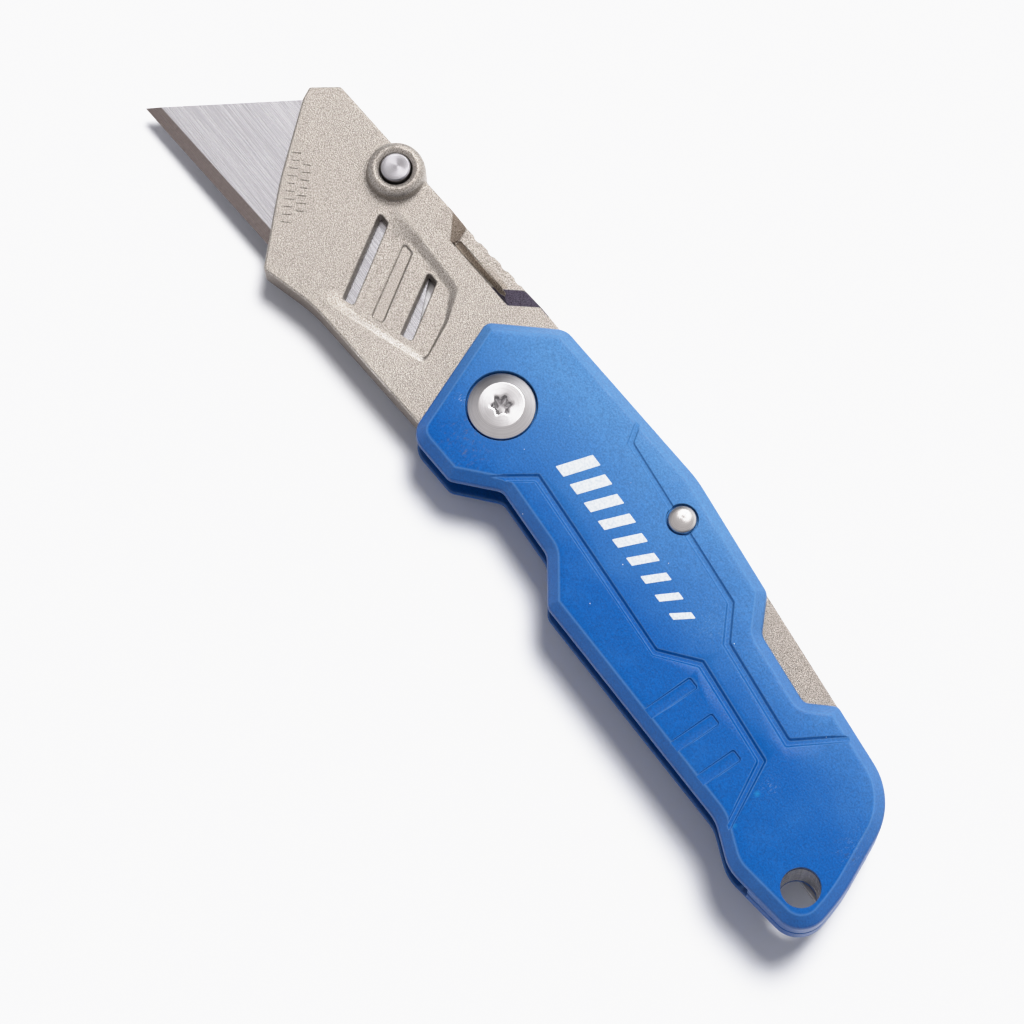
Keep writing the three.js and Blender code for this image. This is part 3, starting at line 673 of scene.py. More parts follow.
HANDLE = [
    (-12.4, 6.1, 1.6), (-4.9, -13.27, 3.5), (4.22, -12.75, 1.8), (10.27, -7.34, 1.8),
    (22, -7.76, 3), (28.5, -12.44, 2), (68.4, -11.5, 6), (75.2, -14.25, 7), (90.2, -12.2, 4.5),
    (88.1, -3.3, 30), (81.56, 11.55, 11), (65.39, 13.06, 1.2), (62.02, 9.34, 1.6),
    (50.38, 10.49, 2), (45.71, 15.02, 2.2), (25.7, 17.12, 20), (-4.45, 15.14, 3),
]
TAIL_BLOCK = square([
    (67.8, 20), (68.6, 9), (74.5, 4), (76, -3), (77.6, -9), (81.2, -20), (95, -20), (95, 20),
])
LEDGE = square([(53, 1.3), (59, 1.3), (59, 2.9), (53, 2.9)])
GROOVE_WIDTH = 1.3
CROWN = 0.3  # how far the face falls away 13 mm either side of its middle
GROOVES = [
    [(13.2, 16), (15.9, 12), (44.1, 9.35), (48.7, 5.2), (65.7, 3.45), (71.2, 12.3)],
    [(7.6, -8.5), (12.1, -2.3), (43.5, -4.05), (48.9, 0.4), (65.6, -1.15), (71.2, -12.2)],
]


def grip_corners(k):
    x, top = 49.4 + 6.15 * k, -2.05 - 0.65 * k
    return [(x - 0.25, -14, 0), (x + 1.85, -14, 0), (x + 2.15, top, 0.45), (x + 0.1, top, 0.45)]


def face(points):
    """Height of a shell's slightly crowned face."""
    return FACE - CROWN * ((points[:, 1] - 1) / 13) ** 2


def shell(recesses, holes, blind_holes):
    """One handle shell, face up. recesses are (centre, radius, floor) sunk into the face, holes
    are (centre, radius) right through, and blind_holes are sunk into the inner side."""
    edge, tail, ledge = clear_of(HANDLE), clear_of(TAIL_BLOCK), clear_of(LEDGE)
    bands = [band(route, GROOVE_WIDTH) for route in GROOVES]
    grips = [grip_corners(k) for k in range(3)]

    chamfer = profile((-0.6, -6), (0, -2.1), (0.13, -1.7), (1.66, -0.1), (2.1, 0), blur=0.16)
    lip = [(0.02, FACE - 0.03), (0.3, FACE + 0.02), (0.5, FACE + 2)]
    groove_wall = profile((-0.36, FACE - 0.58), *lip, blur=0.11)
    grip_wall = profile((-0.18, FACE - 0.38), *lip, blur=0.08)
    under = profile((0, 0.3), (0.12, 0.1), (0.35, 0), blur=0.06)
    block = profile((-0.06, GAP / 2), (0, CHANNEL), blur=0.02)

    cuts = [(clear_of(groove), groove_wall) for groove in bands]
    cuts += [(clear_of(grip), grip_wall) for grip in grips]
    for centre, radius, floor in recesses:
        well = profile((radius - 0.05, floor), (radius, FACE - 0.12), (radius + 0.1, FACE),
                       blur=0.02)
        cuts.append((radius_from(centre), well))
    for centre, radius in holes:
        rim = profile((radius, FACE - 0.14), (radius + 0.06, FACE - 0.04), (radius + 0.16, FACE),
                      blur=0.03)
        cuts.append((radius_from(centre), rim))

    def top(points):
        height = face(points) + chamfer(-edge(points))
        for distance, wall in cuts:
            height = np.minimum(height, wall(distance(points)))
        return height

    def bottom(points):
        height = np.minimum(block(tail(points)), block(ledge(points)))
        for centre, radius, floor in blind_holes:
            height = np.where(radius_from(centre)(points) < radius - 0.02, floor, height)
        return height + under(-edge(points))

    def inside(points):
        bores = [radius - radius_from(centre)(points) for centre, radius in holes]
        return np.max([edge(points), *bores], 0)

    loops = insets(HANDLE, (0, 0.05, 0.12, 0.2, 0.35, 0.8, 1.24, 1.5, 1.62, 1.75, 1.88, 2.02, 2.2))
    for groove in bands:
        loops += insets(groove, (-0.12, -0.04, 0.06, 0.18, 0.3, 0.42, 0.5), 8)
    for grip in grips:
        loops += insets(grip, (-0.08, 0, 0.08, 0.16, 0.24), 8)
    loops += insets(TAIL_BLOCK, (0, 0.06)) + insets(LEDGE, (0, 0.06))
    for centre, radius, _ in recesses:
        loops += rings(centre, radius, (-0.07, -0.05, 0, 0.03, 0.06, 0.12), 80)
    for centre, radius in holes:
        loops += rings(centre, radius, (0, 0.03, 0.07, 0.12, 0.2), 72)
    for centre, radius, _ in blind_holes:
        loops += rings(centre, radius, (-0.04, 0), 48)
    return relief(inside, top, bottom, loops)


def handle():
    wells = [((0, 0), PIVOT_HEAD + GAP, FACE - 1.3), (RIVET, RIVET_HEAD + GAP, FACE - 1.1)]
    through = [((0, 0), PIVOT_HOLE), (RIVET, 2.0), (LANYARD, LANYARD_RADIUS + 0.03)]
    seats = [(LANYARD, 3.67, 4.9), (STOP_PIN, 1.4, 4.4)]
    upper = shell(wells, through, seats + [(SHELL_SCREW, 1.4, 3.4)])
    add_piece("handle_shell_top", "handle", upper, NYLON, ["top_shell"])

    screw_holes = [(SHELL_SCREW, 1.5)] + [(at, 1.4) for at in CLIP_SCREWS]
    lower = shell(wells + [(SHELL_SCREW, 2.4, FACE - 1.7)], through + screw_holes, seats)
    add_piece("handle_shell_bottom", "handle", lower.flipped(), NYLON, ["bottom_shell"])


def handle_print():
    """A plain printed row of slanted bars, each one shorter than the one before it."""
    bars = []
    lean, film = 0.9, edge_round(0.03)
    for k in range(9):
        x, half, width = 14.2 + 3.42 * k, 2.75 - 0.17 * k, 2.0 - 0.1 * k
        low, high = 4.3 - half - 0.045 * x, 4.3 + half - 0.045 * x
        corners = [(x - lean - width / 2, low, 0.12), (x - lean + width / 2, low, 0.12),
                   (x + lean + width / 2, high, 0.12), (x + lean - width / 2, high, 0.12)]
        rim = clear_of(corners, 12)
        bars.append(relief(rim, lambda p, rim=rim: face(p) + 0.05 - film(-rim(p)),
                           lambda p: face(p) - 0.02, insets(corners, (0, 0.015, 0.03), 12)))
    add_piece("handle_print", "handle", reduce(add, bars), PRINT, [])


# ------------------------------------------------------------------ blade holder

HOLDER = [
    (-39.5, -15.75, 0.9), (-30.5, -13.05, 25), (-3.2, -10.85, 0.5), (-3.2, 0, 0), (-0.5, 4, 0),
    (-0.5, 14.85, 0.5), (-15.5, 14.25, 6), (-29.6, 12.75, 4), (-34.5, 12.35, 4),
    (-56.5, 10.7, 0.8), (-59.35, 6.75, 0.5), (-58.45, 4.95, 1.5), (-49.7, -5.6, 60),
]
NOSE_NOTCH = [(2.2, 8.4), (5.65, 7), (5.65, 16), (2.2, 16)]
PANEL_MOUTH = [(-31.5, -12.1, 1.5), (-12.9, -5.1, 0.7), (-16.1, 1.7, 4), (-19.5, 6.4, 1.6),
               (-37.5, 6.4, 1.5)]
PANEL_FLOOR = [(-27.5, -9.1, 1.5), (-13.8, -4.0, 0.5), (-16.8, 1.5, 4), (-20.2, 4.75, 1.6),
               (-31.5, 4.4, 1.5)]
PANEL_DEPTH = 0.45
RAMP_DEPTH = 1.2
RAMP_SIDES = [  # top and foot of each sloping side, as lines with the ramp on their left
    (((-30.3, 12.7), (-26.5, 9.55)), ((-27.1, 13.9), (-25.8, 10.6))),
    (((-26.5, 9.55), (-13.0, 10.5)), ((-26.5, 9.8), (-13.0, 10.75))),
    (((-12.9, 10.5), (-9.4, 14.7)), ((-15.28, 12.48), (-11.78, 16.68))),
]
RAMP_GROOVE = square([(-26.2, 9.66), (-13.4, 10.5), (-15.4, 11.75), (-25.9, 11.05)])
RAMP_GROOVE_FOOT, RAMP_GROOVE_SLOPE = (-25.5, 9.72), 0.0655
TEETH = [(-24.7 + 3.03 * k, 15.55 + 0.105 * (-11.7 + 3.03 * k)) for k in range(4)]
TOOTH_RADIUS = 1.3
SLOT_DRAFT = 0.2


def slot_corners(k):
    return [(-28.7 + 4.85 * k, -8.85 + 1.88 * k, 0.45), (-26.9 + 4.9 * k, -8 + 1.85 * k, 0.45),
            (-34.35 + 5.93 * k, 3.7 + 0.25 * k, 0.45), (-36.5 + 5.95 * k, 3.65 + 0.25 * k, 0.45)]


def cover_corners(reach=0.0):
    return [
        (-40.5 - reach, -13.45 - reach, 0.8), (-30.3, -12, 20), (-10.3, -10.35, 1),
        (-9.7, -3.4, 1.5), (-16.9, 10.2, 1.5), (-55.6, 9.6, 1), (-57.9 - reach, 6.1, 0.8),
        (-57.6 - reach, 5.2, 0), (-49 - reach, -5.5 - reach / 2, 0),
    ]


def blade_pocket():
    side = GAP / math.sin(BLADE_POINT)
    low, high, rear = -GAP, BLADE_WIDTH + GAP, BLADE_LENGTH + side
    strip = [(-5, low), (rear, low), (rear - BLADE_RUN, high), (-5, high)]
    return turned(strip, BLADE_TILT) + BLADE_TIP


def left_of(line):
    """A function of points that gives how far to the left of a line each one is."""
    start, end = np.array(line)
    along = (end - start) / math.dist(start, end)
    return lambda points: (points - start) @ (-along[1], along[0])


def beside(line, gap, beyond=2):
    """A line moved to its left by gap, and made longer at both ends."""
    start, end = np.array(line)
    along = (end - start) / math.dist(start, end)
    shift = gap * np.array((-along[1], along[0]))
    return np.array([start - along * beyond, end + along * beyond]) + shift


def sloping_pit(sides, depth):
    """Depth of a flat pit with a straight slope between the top and the foot of each side."""
    crease = profile((0, 0), (1, 1), blur=0.025)

    def sink(points):
        shares = []
        for top, foot in sides:
            from_top, from_foot = left_of(top)(points), -left_of(foot)(points)
            share = from_top / np.maximum(from_top + from_foot, 1e-6)
            shares.append(np.where(from_top < 0, 0, np.where(from_foot < 0, 1, crease(share))))
        return depth * np.min(shares, 0)

    return sink


def sunk(mouth, floor):
    """0 at and beyond the mouth outline, 1 at and within the floor outline, sloping between."""
    outer, inner = clear_of(mouth), clear_of(floor)

    def share(points):
        from_mouth, from_floor = np.maximum(-outer(points), 0), np.maximum(inner(points), 0)
        t = from_mouth / (from_mouth + from_floor + 1e-9)
        return t * t * (3 - 2 * t)

    return share


def between_loops(mouth, floor, shares):
    """Outlines part of the way from one outline to the other."""
    first, last = outline(mouth, 0, 6), outline(floor, 0, 6)

    def resampled(loop):
        ring = np.vstack((loop, loop[:1]))
        length = np.r_[0, np.cumsum(np.hypot(*np.diff(ring, axis=0).T))]
        at = np.linspace(0, length[-1], 90, endpoint=False)
        return np.column_stack([np.interp(at, length, ring[:, k]) for k in (0, 1)])

    first, last = resampled(first), resampled(last)
    return [first * (1 - t) + last * t for t in shares]


def holder():
    body = clear_of(HOLDER)
    # the lock bar's nose drops into a notch with the knife open, and into another with it folded
    notches = [NOSE_NOTCH, turned(NOSE_NOTCH, -FOLD_ANGLE)]
    bites = [distance_to(notch) for notch in notches]
    cover_seat, pocket = clear_of(cover_corners(3)), distance_to(blade_pocket())
    panel, ramp = sunk(PANEL_MOUTH, PANEL_FLOOR), sloping_pit(RAMP_SIDES, RAMP_DEPTH)
    ramp_groove = clear_of(RAMP_GROOVE)
    slots = [clear_of(slot_corners(k)) for k in range(3)]
    from_button, from_pivot = radius_from(BUTTON), radius_from((0, 0))

    edge_drop = edge_round(0.35)
    boss = profile((2.45, 4.1), (2.55, 4.42), (2.85, 4.6), (3.3, 4.78), (3.7, 4.7), (4.05, 4.45),
                   (4.35, 4.0), (4.5, 3.3), (4.56, 2.5), (4.6, 0), blur=0.05)
    boss_foot = profile((4.45, 0), (4.62, 0.12), (5.1, 0), blur=0.08)
    slot_wall = profile((-SLOT_DRAFT, -1.35), (0, -0.1), (0.16, 0), blur=0.04)
    blind_wall = profile((-0.14, -0.34), (0, -0.08), (0.16, 0), blur=0.03)
    groove_section = profile((-0.2, 2.5), (0.05, 2.2), (0.3, 0.75), (0.4, 0.7), (1.15, 1.2),
                             (1.3, 1.3), (1.35, 1.24), (1.5, 1.3), blur=0.04)
    bore_rim = profile((BUTTON_BORE, -0.1), (BUTTON_BORE + 0.1, 0), blur=0.03)

    def rim(points):
        """Distance out from the plan of body, tang and bulge."""
        joined = np.minimum(body(points), from_pivot(points) - TANG_RADIUS)
        joined = np.minimum(joined, from_button(points) - BOSS_RADIUS + 0.04)
        teeth = [TOOTH_RADIUS - radius_from(at)(points) for at in TEETH]
        return np.max([joined, *teeth, *(-bite(points) for bite in bites)], 0)

    def top(points):
        height = HOLDER_FACE - PANEL_DEPTH * panel(points)
        for slot, wall in zip(slots, (slot_wall, blind_wall, slot_wall)):
            height += wall(slot(points))
        height = np.minimum(height, HOLDER_FACE - ramp(points))
        x, y = points[:, 0] - RAMP_GROOVE_FOOT[0], points[:, 1] - RAMP_GROOVE_FOOT[1]
        across = y - RAMP_GROOVE_SLOPE * x
        in_groove = np.minimum(height, groove_section(across))
        height = np.where(ramp_groove(points) < 0, in_groove, height) - edge_drop(-rim(points))
        reach = from_button(points)
        height = np.maximum(height + boss_foot(reach), boss(reach)) + bore_rim(reach)
        washer_seat = np.minimum(height, WASHER_SEAT_FACE)
        return np.where(from_pivot(points) < WASHER_SEAT, washer_seat, height)

    def bottom(points):
        reach = from_button(points)
        covered = (cover_seat(points) < 0) & (reach > BUTTON_WELL + COLLAR)
        height = np.where(covered, -POCKET, -HOLDER_FACE)
        height = np.where((pocket(points) < 0) & (reach > BUTTON_WELL), POCKET, height)
        height = np.where(reach < BUTTON_WELL, 1.0, height)
        washer_seat = np.maximum(height, -WASHER_SEAT_FACE)
        height = np.where(from_pivot(points) < WASHER_SEAT, washer_seat, height)
        return height + np.where(height < -2, edge_drop(-rim(points)), 0)

    def inside(points):
        through = np.minimum(slots[0](points), slots[2](points)) + SLOT_DRAFT
        bores = [BUTTON_BORE - from_button(points), PIVOT_HOLE - from_pivot(points)]
        return np.max([rim(points), -through, *bores], 0)

    loops = insets(HOLDER, (0, 0.04, 0.12, 0.22, 0.36, 0.5))
    loops += rings((0, 0), TANG_RADIUS, (0, -0.05, -0.15, -0.36), 96)
    loops += rings(BUTTON, 0, (2.5, 2.56, 2.65, 2.85, 3.1, 3.4, 3.7, 3.95, 4.2, 4.35, 4.45, 4.52,
                               4.56, 4.66, 4.8, 5.15), 96)
    loops += rings(BUTTON, BUTTON_WELL, (0, 0.05, COLLAR), 64)
    for k in range(3):
        loops += insets(slot_corners(k), (SLOT_DRAFT, 0.14, 0.08, 0.03, 0, -0.05, -0.1, -0.2), 8)
    loops += between_loops(PANEL_MOUTH, PANEL_FLOOR, (0, 0.08, 0.2, 0.35, 0.5, 0.65, 0.8, 0.92, 1))
    loops.append(outline(RAMP_GROOVE))
    low, high = np.array(RAMP_GROOVE[0][:2]), np.array(RAMP_GROOVE[1][:2])
    for d in (0.12, 0.28, 0.38, 1.1):
        loops.append(np.array([low + (0.02, d), high + (-0.02 - d * 0.8, d),
                               high + (-0.03 - d * 0.8, d + 0.02), low + (0.03, d + 0.02)]))
    for at in TEETH:
        loops += rings(at, TOOTH_RADIUS, (0, 0.05, 0.15, 0.36), 40)
    loops += rings((0, 0), 0, (PIVOT_HOLE, WASHER_SEAT - 0.03, WASHER_SEAT), 64)
    loops += [*map(np.array, notches), blade_pocket(), outline(cover_corners(3))]
    lines = [beside(line, d) for side in RAMP_SIDES for line in side for d in (-0.04, 0.04)]
    shape = relief(inside, top, bottom, loops, lines)

    collar_drop = edge_round(0.2)
    collar = relief(
        lambda p: np.maximum(BUTTON_WELL - from_button(p), from_button(p) - BUTTON_WELL - COLLAR),
        level(-POCKET),
        lambda p: -HOLDER_FACE + collar_drop(from_button(p) - BUTTON_WELL)
        + collar_drop(BUTTON_WELL + COLLAR - from_button(p)),
        rings(BUTTON, BUTTON_WELL, (0, 0.05, 0.12, 0.2, 0.7, 0.78, 0.85, COLLAR), 96),
    )
    add_piece("holder_casting", "holder", shape + collar, CAST, ["blade_holder"])


def holder_marks():
    """Two plain rows of short raised strokes along the front edge of the casting."""
    marks = []
    ahead = Vector((10.9, -10.4)).normalized()
    side = Vector((-ahead.y, ahead.x))
    across, swell = ahead * 0.17, edge_round(0.12)
    for row, (start, count) in enumerate([((-52.2, -0.6), 10), ((-49.6, -0.4), 7)]):
        for k in range(count):
            at = Vector(start) + ahead * (0.5 + 1.25 * k)
            reach = side * (0.78, 0.6, 0.7)[(k + row) % 3]
            low, high = at - reach, at + reach
            corners = [(p.x, p.y, 0.1) for p in (low - across, low + across,
                                                high + across, high - across)]
            rim = clear_of(corners, 8)
            marks.append(relief(rim, lambda p, rim=rim: HOLDER_FACE + 0.1 - swell(-rim(p)),
                                level(HOLDER_FACE - 0.05), insets(corners, (0, 0.04, 0.1), 8),
                                pitch=5))
    add_piece("holder_marks", "holder", reduce(add, marks), CAST, [])


def cover():
    edge, from_button = clear_of(cover_corners()), radius_from(BUTTON)
    drop = edge_round(0.25)
    sink = profile((COVER_HOLE, 1.4), (2.7, 0), blur=0.06)

    def bottom(points):
        height = -HOLDER_FACE + drop(-edge(points)) + drop(from_button(points) - COVER_BORE)
        for at in COVER_SCREWS:
            height += sink(radius_from(at)(points))
        return height

    def inside(points):
        holes = [COVER_HOLE - radius_from(at)(points) for at in COVER_SCREWS]
        return np.max([edge(points), COVER_BORE - from_button(points), *holes], 0)

    loops = insets(cover_corners(), (0, 0.03, 0.08, 0.15, 0.26))
    loops += rings(BUTTON, COVER_BORE, (0, 0.05, 0.14, 0.26), 80)
    for at in COVER_SCREWS:
        loops += rings(at, 0, (COVER_HOLE, 1.4, 2, 2.6, 2.7, 2.8), 48)
    shape = relief(inside, level(-0.9), bottom, loops)
    add_piece("holder_cover_plate", "holder", shape, COVER_STEEL, ["holder_cover"])


# ------------------------------------------------------------------ blade

def blade():
    middle = BLADE_LENGTH / 2

    def notch(x):
        return [(x + 1.5, BLADE_WIDTH, 0.1), (x + 1.3, BLADE_WIDTH - 2.4, 0.8),
                (x - 1.3, BLADE_WIDTH - 2.4, 0.8), (x - 1.5, BLADE_WIDTH, 0.1)]

    corners = [(0, 0, 0), (BLADE_LENGTH, 0, 0), (BLADE_LENGTH - BLADE_RUN, BLADE_WIDTH, 0.15),
               *notch(middle + 5.2), *notch(middle - 5.2), (BLADE_RUN, BLADE_WIDTH, 0.15)]
    edge = clear_of(corners, 8)
    ground = profile((0, 0.03), (0.12, 0.06), (BLADE_BEVEL, BLADE_HALF), blur=0.015)
    drop = edge_round(0.05)

    def top(points):
        away = np.where(points[:, 1] < 1, 1, -edge(points))
        return ground(points[:, 1]) - drop(away)

    loops = insets(corners, (0, 0.02, 0.055), 8)
    lines = [np.array([(-1, y), (BLADE_LENGTH + 1, y)]) for y in (0.12, 1, 1.82, 1.88)]
    shape = relief(edge, top, lambda p: -top(p), loops, lines)
    add_piece("trapezoid_blade", "blade", shape, BLADE, ["blade"], at=BLADE_TIP,
              angle=BLADE_TILT)


# ------------------------------------------------------------------ lock bar

LOCK_BAR = [
    (2.7, 9.45, 0.3), (5.2, 8.35, 0.3), (5.2, 11.3, 0), (14, 9.6, 4), (26, 8.3, 3), (28, 7.6, 2),
    (32, 7.6, 2), (34.5, 8.2, 2), (50, 7.6, 4), (66.8, 7.4, 1.2), (66.7, 13.05, 0.8),
    (45, 15.03, 20), (25.7, 16.65, 20), (2.7, 15.15, 0.8),
]


def lock_bar():
    edge, from_rivet = clear_of(LOCK_BAR), radius_from(RIVET)
    drop = edge_round(0.3)
    half, hole = 2.5, 2.1

    def rim(points):
        return np.maximum(edge(points), hole - from_rivet(points))

    def top(points):
        return half - drop(-rim(points))

    loops = insets(LOCK_BAR, (0, 0.03, 0.1, 0.18, 0.31))
    loops += rings(RIVET, hole, (0, 0.05, 0.15, 0.31), 48)
    shape = relief(rim, top, lambda p: -top(p), loops)
    add_piece("lock_bar_casting", "lock_bar", shape, CAST, ["lock_bar"])


# ------------------------------------------------------------------ turned pieces

def fastener(name, body, line, look, node, at, drive=0.0, drive_depth=1.2, under=False,
             segments=96, radius=0.08):
    """A turned piece with its head up, or with its head down if it is under."""
    vertices, faces = turning(soften(line, radius), segments, drive, drive_depth)
    if under:
        vertices, faces = vertices * (1, 1, -1), [f[::-1] for f in faces]
    add_piece(name, body, (vertices, faces), look, [node], at=at)


def turned_pieces():
    head = [(PIVOT_HEAD, 5), (PIVOT_HEAD, FACE - 0.28), (3.42, FACE + 0.45), (0, FACE + 0.45)]
    fastener("pivot_screw_head", "handle", [(0, -2.5), (2.1, -2.5), (2.3, -2.3), (2.3, 5), *head],
             TURNED, "pivot_screw", (0, 0), drive=1.62, drive_depth=1.4)
    fastener("pivot_barrel_head", "handle", [(0, -4.4), (3.6, -4.4), (3.6, 5), *head],
             TURNED, "pivot_barrel", (0, 0), drive=1.62, drive_depth=1.0, under=True)

    rivet_line = [(0, -FACE), (1.3, -FACE), (RIVET_HEAD, 0.4 - FACE), (RIVET_HEAD, 0.8 - FACE),
                  (1.7, 0.8 - FACE), (1.7, FACE - 0.8), (RIVET_HEAD, FACE - 0.8)]
    for k in range(1, 9):
        lift = math.radians(90 * k / 9)
        dome = (RIVET_HEAD * math.cos(lift) ** 0.8, FACE - 0.42 + 0.8 * math.sin(lift))
        rivet_line.append(dome)
    rivet_line.append((0, FACE + 0.38))
    fastener("lock_bar_rivet_head", "handle", rivet_line, RIVET_STEEL, "lock_bar_rivet", RIVET,
             radius=0.12)

    button_line = [(0, 3.4), (1.5, 3.4), (1.5, -0.4), (BUTTON_RADIUS, -0.4), (3, -0.4), (3, 0.7),
                   (BUTTON_RADIUS, 0.7), (BUTTON_RADIUS, 5.15), (2.06, 5.4), (1.2, 5.38),
                   (0, 5.36)]
    vertices, faces = turning(soften(button_line, 0.06))
    flange_flat = (np.abs(vertices[:, 2] - 0.15) < 0.6) & (vertices[:, 1] < -BUTTON_RADIUS)
    vertices[flange_flat, 1] = -BUTTON_RADIUS
    add_piece("release_button_turned", "button", (vertices, faces), BUTTON_STEEL,
              ["release_button"], at=BUTTON, angle=BLADE_TILT)

    fastener("button_retainer_disc", "holder",
             [(0, 1.9), (3.1, 1.9), (3.1, HOLDER_FACE), (2.2, HOLDER_FACE), (1.9, 2.3), (0, 2.3)],
             COVER_STEEL, "button_retainer", BUTTON, under=True)

    cover_line = [(0, -1.1), (1, -1.1), (1, 1.65), (1.85, 2.45), (1.8, HOLDER_FACE),
                  (0, HOLDER_FACE)]
    for k, at in enumerate(COVER_SCREWS, 1):
        fastener(f"cover_screw_head_{k}", "holder", cover_line, TURNED, f"cover_screw_{k}", at,
                 drive=0.85, drive_depth=0.6, under=True, segments=72, radius=0.04)
    seat = FACE + GAP + CLIP_THICKNESS + GAP
    clip_line = [(0, seat - 3.1), (1.1, seat - 3.1), (1.1, seat), (2, seat), (2, seat + 0.35),
                 (1.75, seat + 0.62), (1.3, seat + 0.8), (0, seat + 0.8)]
    for k, at in enumerate(CLIP_SCREWS, 1):
        fastener(f"clip_screw_head_{k}", "handle", clip_line, TURNED, f"clip_screw_{k}", at,
                 drive=0.95, drive_depth=0.55, under=True, segments=72)
    shell_line = [(0, -2.9), (1.15, -2.9), (1.15, 4.7), (2.05, 4.7), (2.05, 5.6), (1.95, 5.7),
                  (0, 5.7)]
    fastener("shell_screw_head", "handle", shell_line, TURNED, "shell_screw", SHELL_SCREW,
             drive=1, drive_depth=0.6, under=True, segments=72)

    inner, outer, end = LANYARD_RADIUS, LANYARD_RADIUS + 0.45, 4.6
    fastener("lanyard_sleeve", "handle",
             [(inner, end), (inner, -end), (outer, -end), (outer, end), (inner, end)],
             TUBE_STEEL, "lanyard_tube", LANYARD, radius=0.1)


# ------------------------------------------------------------------ coil springs

def coil_spring(name, body, node, along, radius, wire, travel):
    """A coil spring in its CAD node's place, its axis along X, Y or Z (0, 1 or 2).

    travel is not used.
    """
    low, high = (Vector(corner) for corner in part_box(node))
    height = (high - low)[along] / MM
    turns, steps_per_turn, sides = 4, 28, 12
    steps = turns * steps_per_turn
    vertices, faces = [], []
    for k in range(steps + 1):
        turn = 2 * math.pi * k / steps_per_turn
        for n in range(sides):
            angle = 2 * math.pi * n / sides
            reach = radius + wire * math.cos(angle)
            rise = wire * (1 + math.sin(angle)) + (height - 2 * wire) * k / steps
            x, y = reach * math.cos(turn), reach * math.sin(turn)
            vertices.append((x, y, rise) if along == 2 else (x, rise, -y))
    for k in range(steps):
        for n in range(sides):
            a, b = k * sides + n, k * sides + (n + 1) % sides
            faces.append((a, a + sides, b + sides, b))
    faces.append(tuple(range(sides)))
    faces.append(tuple(steps * sides + n for n in reversed(range(sides))))
    foot = (low + high) / 2
    foot[along] = low[along]
    piece = add_piece(name, body, (np.array(vertices), faces), DARK_STEEL, [node],
                      at=(foot - PIVOT) / MM)
    1 - travel / height
    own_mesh(piece)


def springs():
    coil_spring("button_spring_coil", "holder", "button_spring", 2, 1.0, 0.2,
                joint("button_press")["range_m"][1] / MM)
    radius, wire = 1.5, 0.25
    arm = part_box("lock_spring")[0].x + (radius + wire) * MM - PIVOT.x - RIVET[0] * MM
    pressed = math.radians(-joint("lock_bar_rock")["range_deg"][0])
    coil_spring("lock_spring_coil", "handle", "lock_spring", 1, radius, wire,
                arm * math.sin(pressed) / MM)


# ------------------------------------------------------------------ belt clip

CLIP_TOP = -FACE - GAP
CLIP_ROUTE = [  # x and height of the clip's upper side, from its tip to its foot
    (33, CLIP_TOP - 2.1), (37.6, CLIP_TOP - 0.5), (41, CLIP_TOP - 0.35), (60, CLIP_TOP - 2.35),
    (67.5, CLIP_TOP - 2.2), (72.5, CLIP_TOP), (89, CLIP_TOP),
]
CLIP = [
    (32.6, -4.3, 3.5), (44, -5.5, 12), (87, -5.5, 1), (82.9, 4, 3), (80.5, 5.5, 4),
    (44, 5.5, 12), (32.6, 4.3, 3.5),
]


def belt_clip():
    edge = clear_of(CLIP)
    bend = profile(*CLIP_ROUTE, blur=0.9)
    drop = edge_round(0.22)
    tip = CLIP_ROUTE[0][0]

    def rim(points):
        holes = [CLIP_HOLE - radius_from(at)(points) for at in CLIP_SCREWS]
        return np.max([edge(points), tip - points[:, 0], *holes], 0)

    def top(points):
        return bend(points[:, 0]) - drop(-rim(points))

    def bottom(points):
        height = np.maximum(bend(points[:, 0]) - CLIP_THICKNESS, CLIP_TOP - 3.25)
        return height + drop(-rim(points))

    loops = insets(CLIP, (0, 0.03, 0.08, 0.15, 0.23))
    for at in CLIP_SCREWS:
        loops += rings(at, CLIP_HOLE, (0, 0.05, 0.12, 0.23), 48)
    bends = [tip, tip + 0.03, tip + 0.1, tip + 0.23]
    bends += [x + 0.3 * k for x, _ in CLIP_ROUTE[1:-1] for k in range(-3, 4)]
    lines = [np.array([(x, -7), (x, 7)]) for x in sorted(bends)]
    shape = relief(rim, top, bottom, loops, lines, pitch=2)
    add_piece("belt_clip_strip", "clip", shape, DARK_STEEL, ["belt_clip"])


# ------------------------------------------------------------------ the knife

handle()
handle_print()
holder()
holder_marks()
cover()
blade()
lock_bar()
turned_pieces()
springs()
belt_clip()

for node, look in {
    "pivot_washer_top": BRASS, "pivot_washer_bottom": BRASS, "stop_pin": TURNED,
}.items():
    mesh = frame["nodes"][node].data
    mesh.materials.clear()
    mesh.materials.append(look)


# ------------------------------------------------------------------ floor, light and camera

def floor():
    """A pale table that the knife leans on with its belt clip and the pivot barrel's head."""
    clip_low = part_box("belt_clip")[0]
    barrel_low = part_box("pivot_barrel")[0]
    clip_rest, barrel_rest = PIVOT.x + 60 * MM, PIVOT.x - 3.4 * MM
    rise = (barrel_low.z - clip_low.z) / (clip_rest - barrel_rest)
    size, clearance = 3.0, 0.08 * MM
    mesh = bpy.data.meshes.new("table")
    corners = [(-size, -size), (size, -size), (size, size), (-size, size)]
    mesh.from_pydata([(x, y, clip_low.z - clearance - (x - clip_rest) * rise) for x, y in corners],
                     [], [(0, 1, 2, 3)])
    look = Look("table_white", (0.86, 0.86, 0.875), 0.6)
    tone = look.noise(40, 3)
    look.set("Base Color", look.mix(tone, (0.855, 0.855, 0.872), (0.87, 0.87, 0.884)))
    mesh.materials.append(look.material)
    table = bpy.data.objects.new("table", mesh)
    bpy.context.scene.collection.objects.link(table)


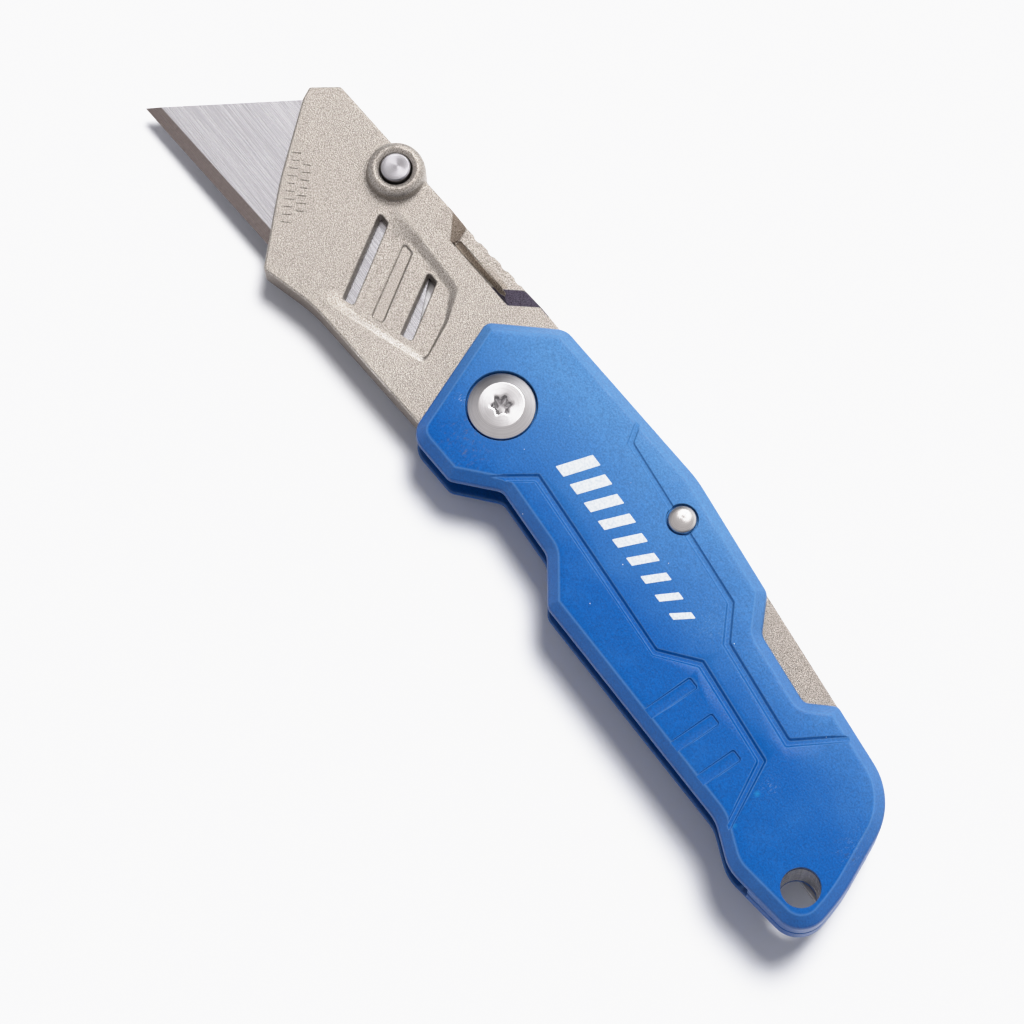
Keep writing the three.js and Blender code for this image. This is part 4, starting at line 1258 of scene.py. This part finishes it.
def sun(name, direction, strength, spread, colour=(1, 1, 1)):
    lamp = bpy.data.lights.new(name, "SUN")
    lamp.energy, lamp.angle, lamp.color = strength, math.radians(spread), colour
    made = bpy.data.objects.new(name, lamp)
    bpy.context.scene.collection.objects.link(made)
    made.rotation_euler = Vector(direction).to_track_quat("Z", "Y").to_euler()
    return made


KNIFE_TURN = math.radians(-54)
PICTURE = Matrix.Rotation(-KNIFE_TURN, 3, "Z")  # from the picture's right, up and out


def lights():
    # one softbox, split so that its glare can be set apart from the light it throws
    thrown = sun("key", PICTURE @ Vector((0.26, 0.36, 1.0)), 4.9, 24, (1.0, 0.995, 0.98))
    thrown.visible_glossy = False
    glare = sun("key_glare", PICTURE @ Vector((0.28, 0.68, 1.0)), 1.5, 20)
    glare.visible_diffuse = False

    world = bpy.data.worlds.new("studio")
    world.use_nodes = True
    sky = Nodes(world.node_tree)
    direction = sky.node("ShaderNodeTexCoord", {}, "Generated")
    bright_side = (PICTURE @ Vector((0.9, 0.25, 0.3))).normalized()
    facing = sky.vector("DOT_PRODUCT", direction, bright_side, output="Value")
    sides = sky.node("ShaderNodeValToRGB", {"Fac": sky.math("MULTIPLY_ADD", facing, 0.5, 0.5)})
    stops = sides.node.color_ramp.elements
    stops[0].position, stops[0].color = 0.0, (0.75, 0.76, 0.82, 1)
    stops[1].position, stops[1].color = 0.97, (1.6, 1.6, 1.6, 1)
    for position, grey in [(0.25, 0.3), (0.45, 0.05), (0.6, 0.06), (0.75, 0.25)]:
        stops.new(position).color = (grey, grey, grey * 1.1, 1)
    overhead = sky.between(sky.axis(direction, 2), 0.4, 0.7, interpolation_type="SMOOTHSTEP")
    room = sky.mix(overhead, sides, (0.72, 0.69, 0.69))
    # matt surfaces see an even grey room instead
    diffuse = sky.node("ShaderNodeLightPath", {}, "Is Diffuse Ray")
    background = world.node_tree.nodes["Background"]
    sky.feed(background.inputs["Color"], sky.mix(diffuse, room, (0.3, 0.305, 0.34)))
    bpy.context.scene.world = world


def film():
    """Standard colours, with the whites rolled off as a camera does."""
    view = bpy.context.scene.view_settings
    view.view_transform = "Standard"
    view.use_curve_mapping = True
    response = view.curve_mapping
    response.clip_max_x = 3
    curve = response.curves[3]
    curve.points[1].location = (0.5, 0.5)
    for shown in [(0.8, 0.76), (1.1, 0.9), (1.45, 0.95), (3, 0.965)]:
        curve.points.new(*shown)
    response.update()


def camera():
    tilt, swing = math.radians(15.3), math.radians(3)
    back = Vector((math.sin(tilt) * math.sin(swing), -math.sin(tilt) * math.cos(swing),
                   math.cos(tilt)))
    right = Vector((0, 1, 0)).cross(back).normalized()
    up = back.cross(right)
    axes = [PICTURE @ v for v in (right, up, back)]
    aim = PIVOT + Vector((14.15, -8.36, FACE)) * MM
    lens = bpy.data.cameras.new("camera")
    lens.lens, lens.sensor_width = 140, 36
    lens.clip_start, lens.clip_end = 0.01, 20
    made = bpy.data.objects.new("camera", lens)
    bpy.context.scene.collection.objects.link(made)
    distance = 585.6 * MM
    turn = Matrix(axes).transposed().to_4x4()
    made.matrix_world = Matrix.Translation(aim + axes[2] * distance) @ turn
    bpy.context.scene.camera = made


floor()
lights()
film()
camera()
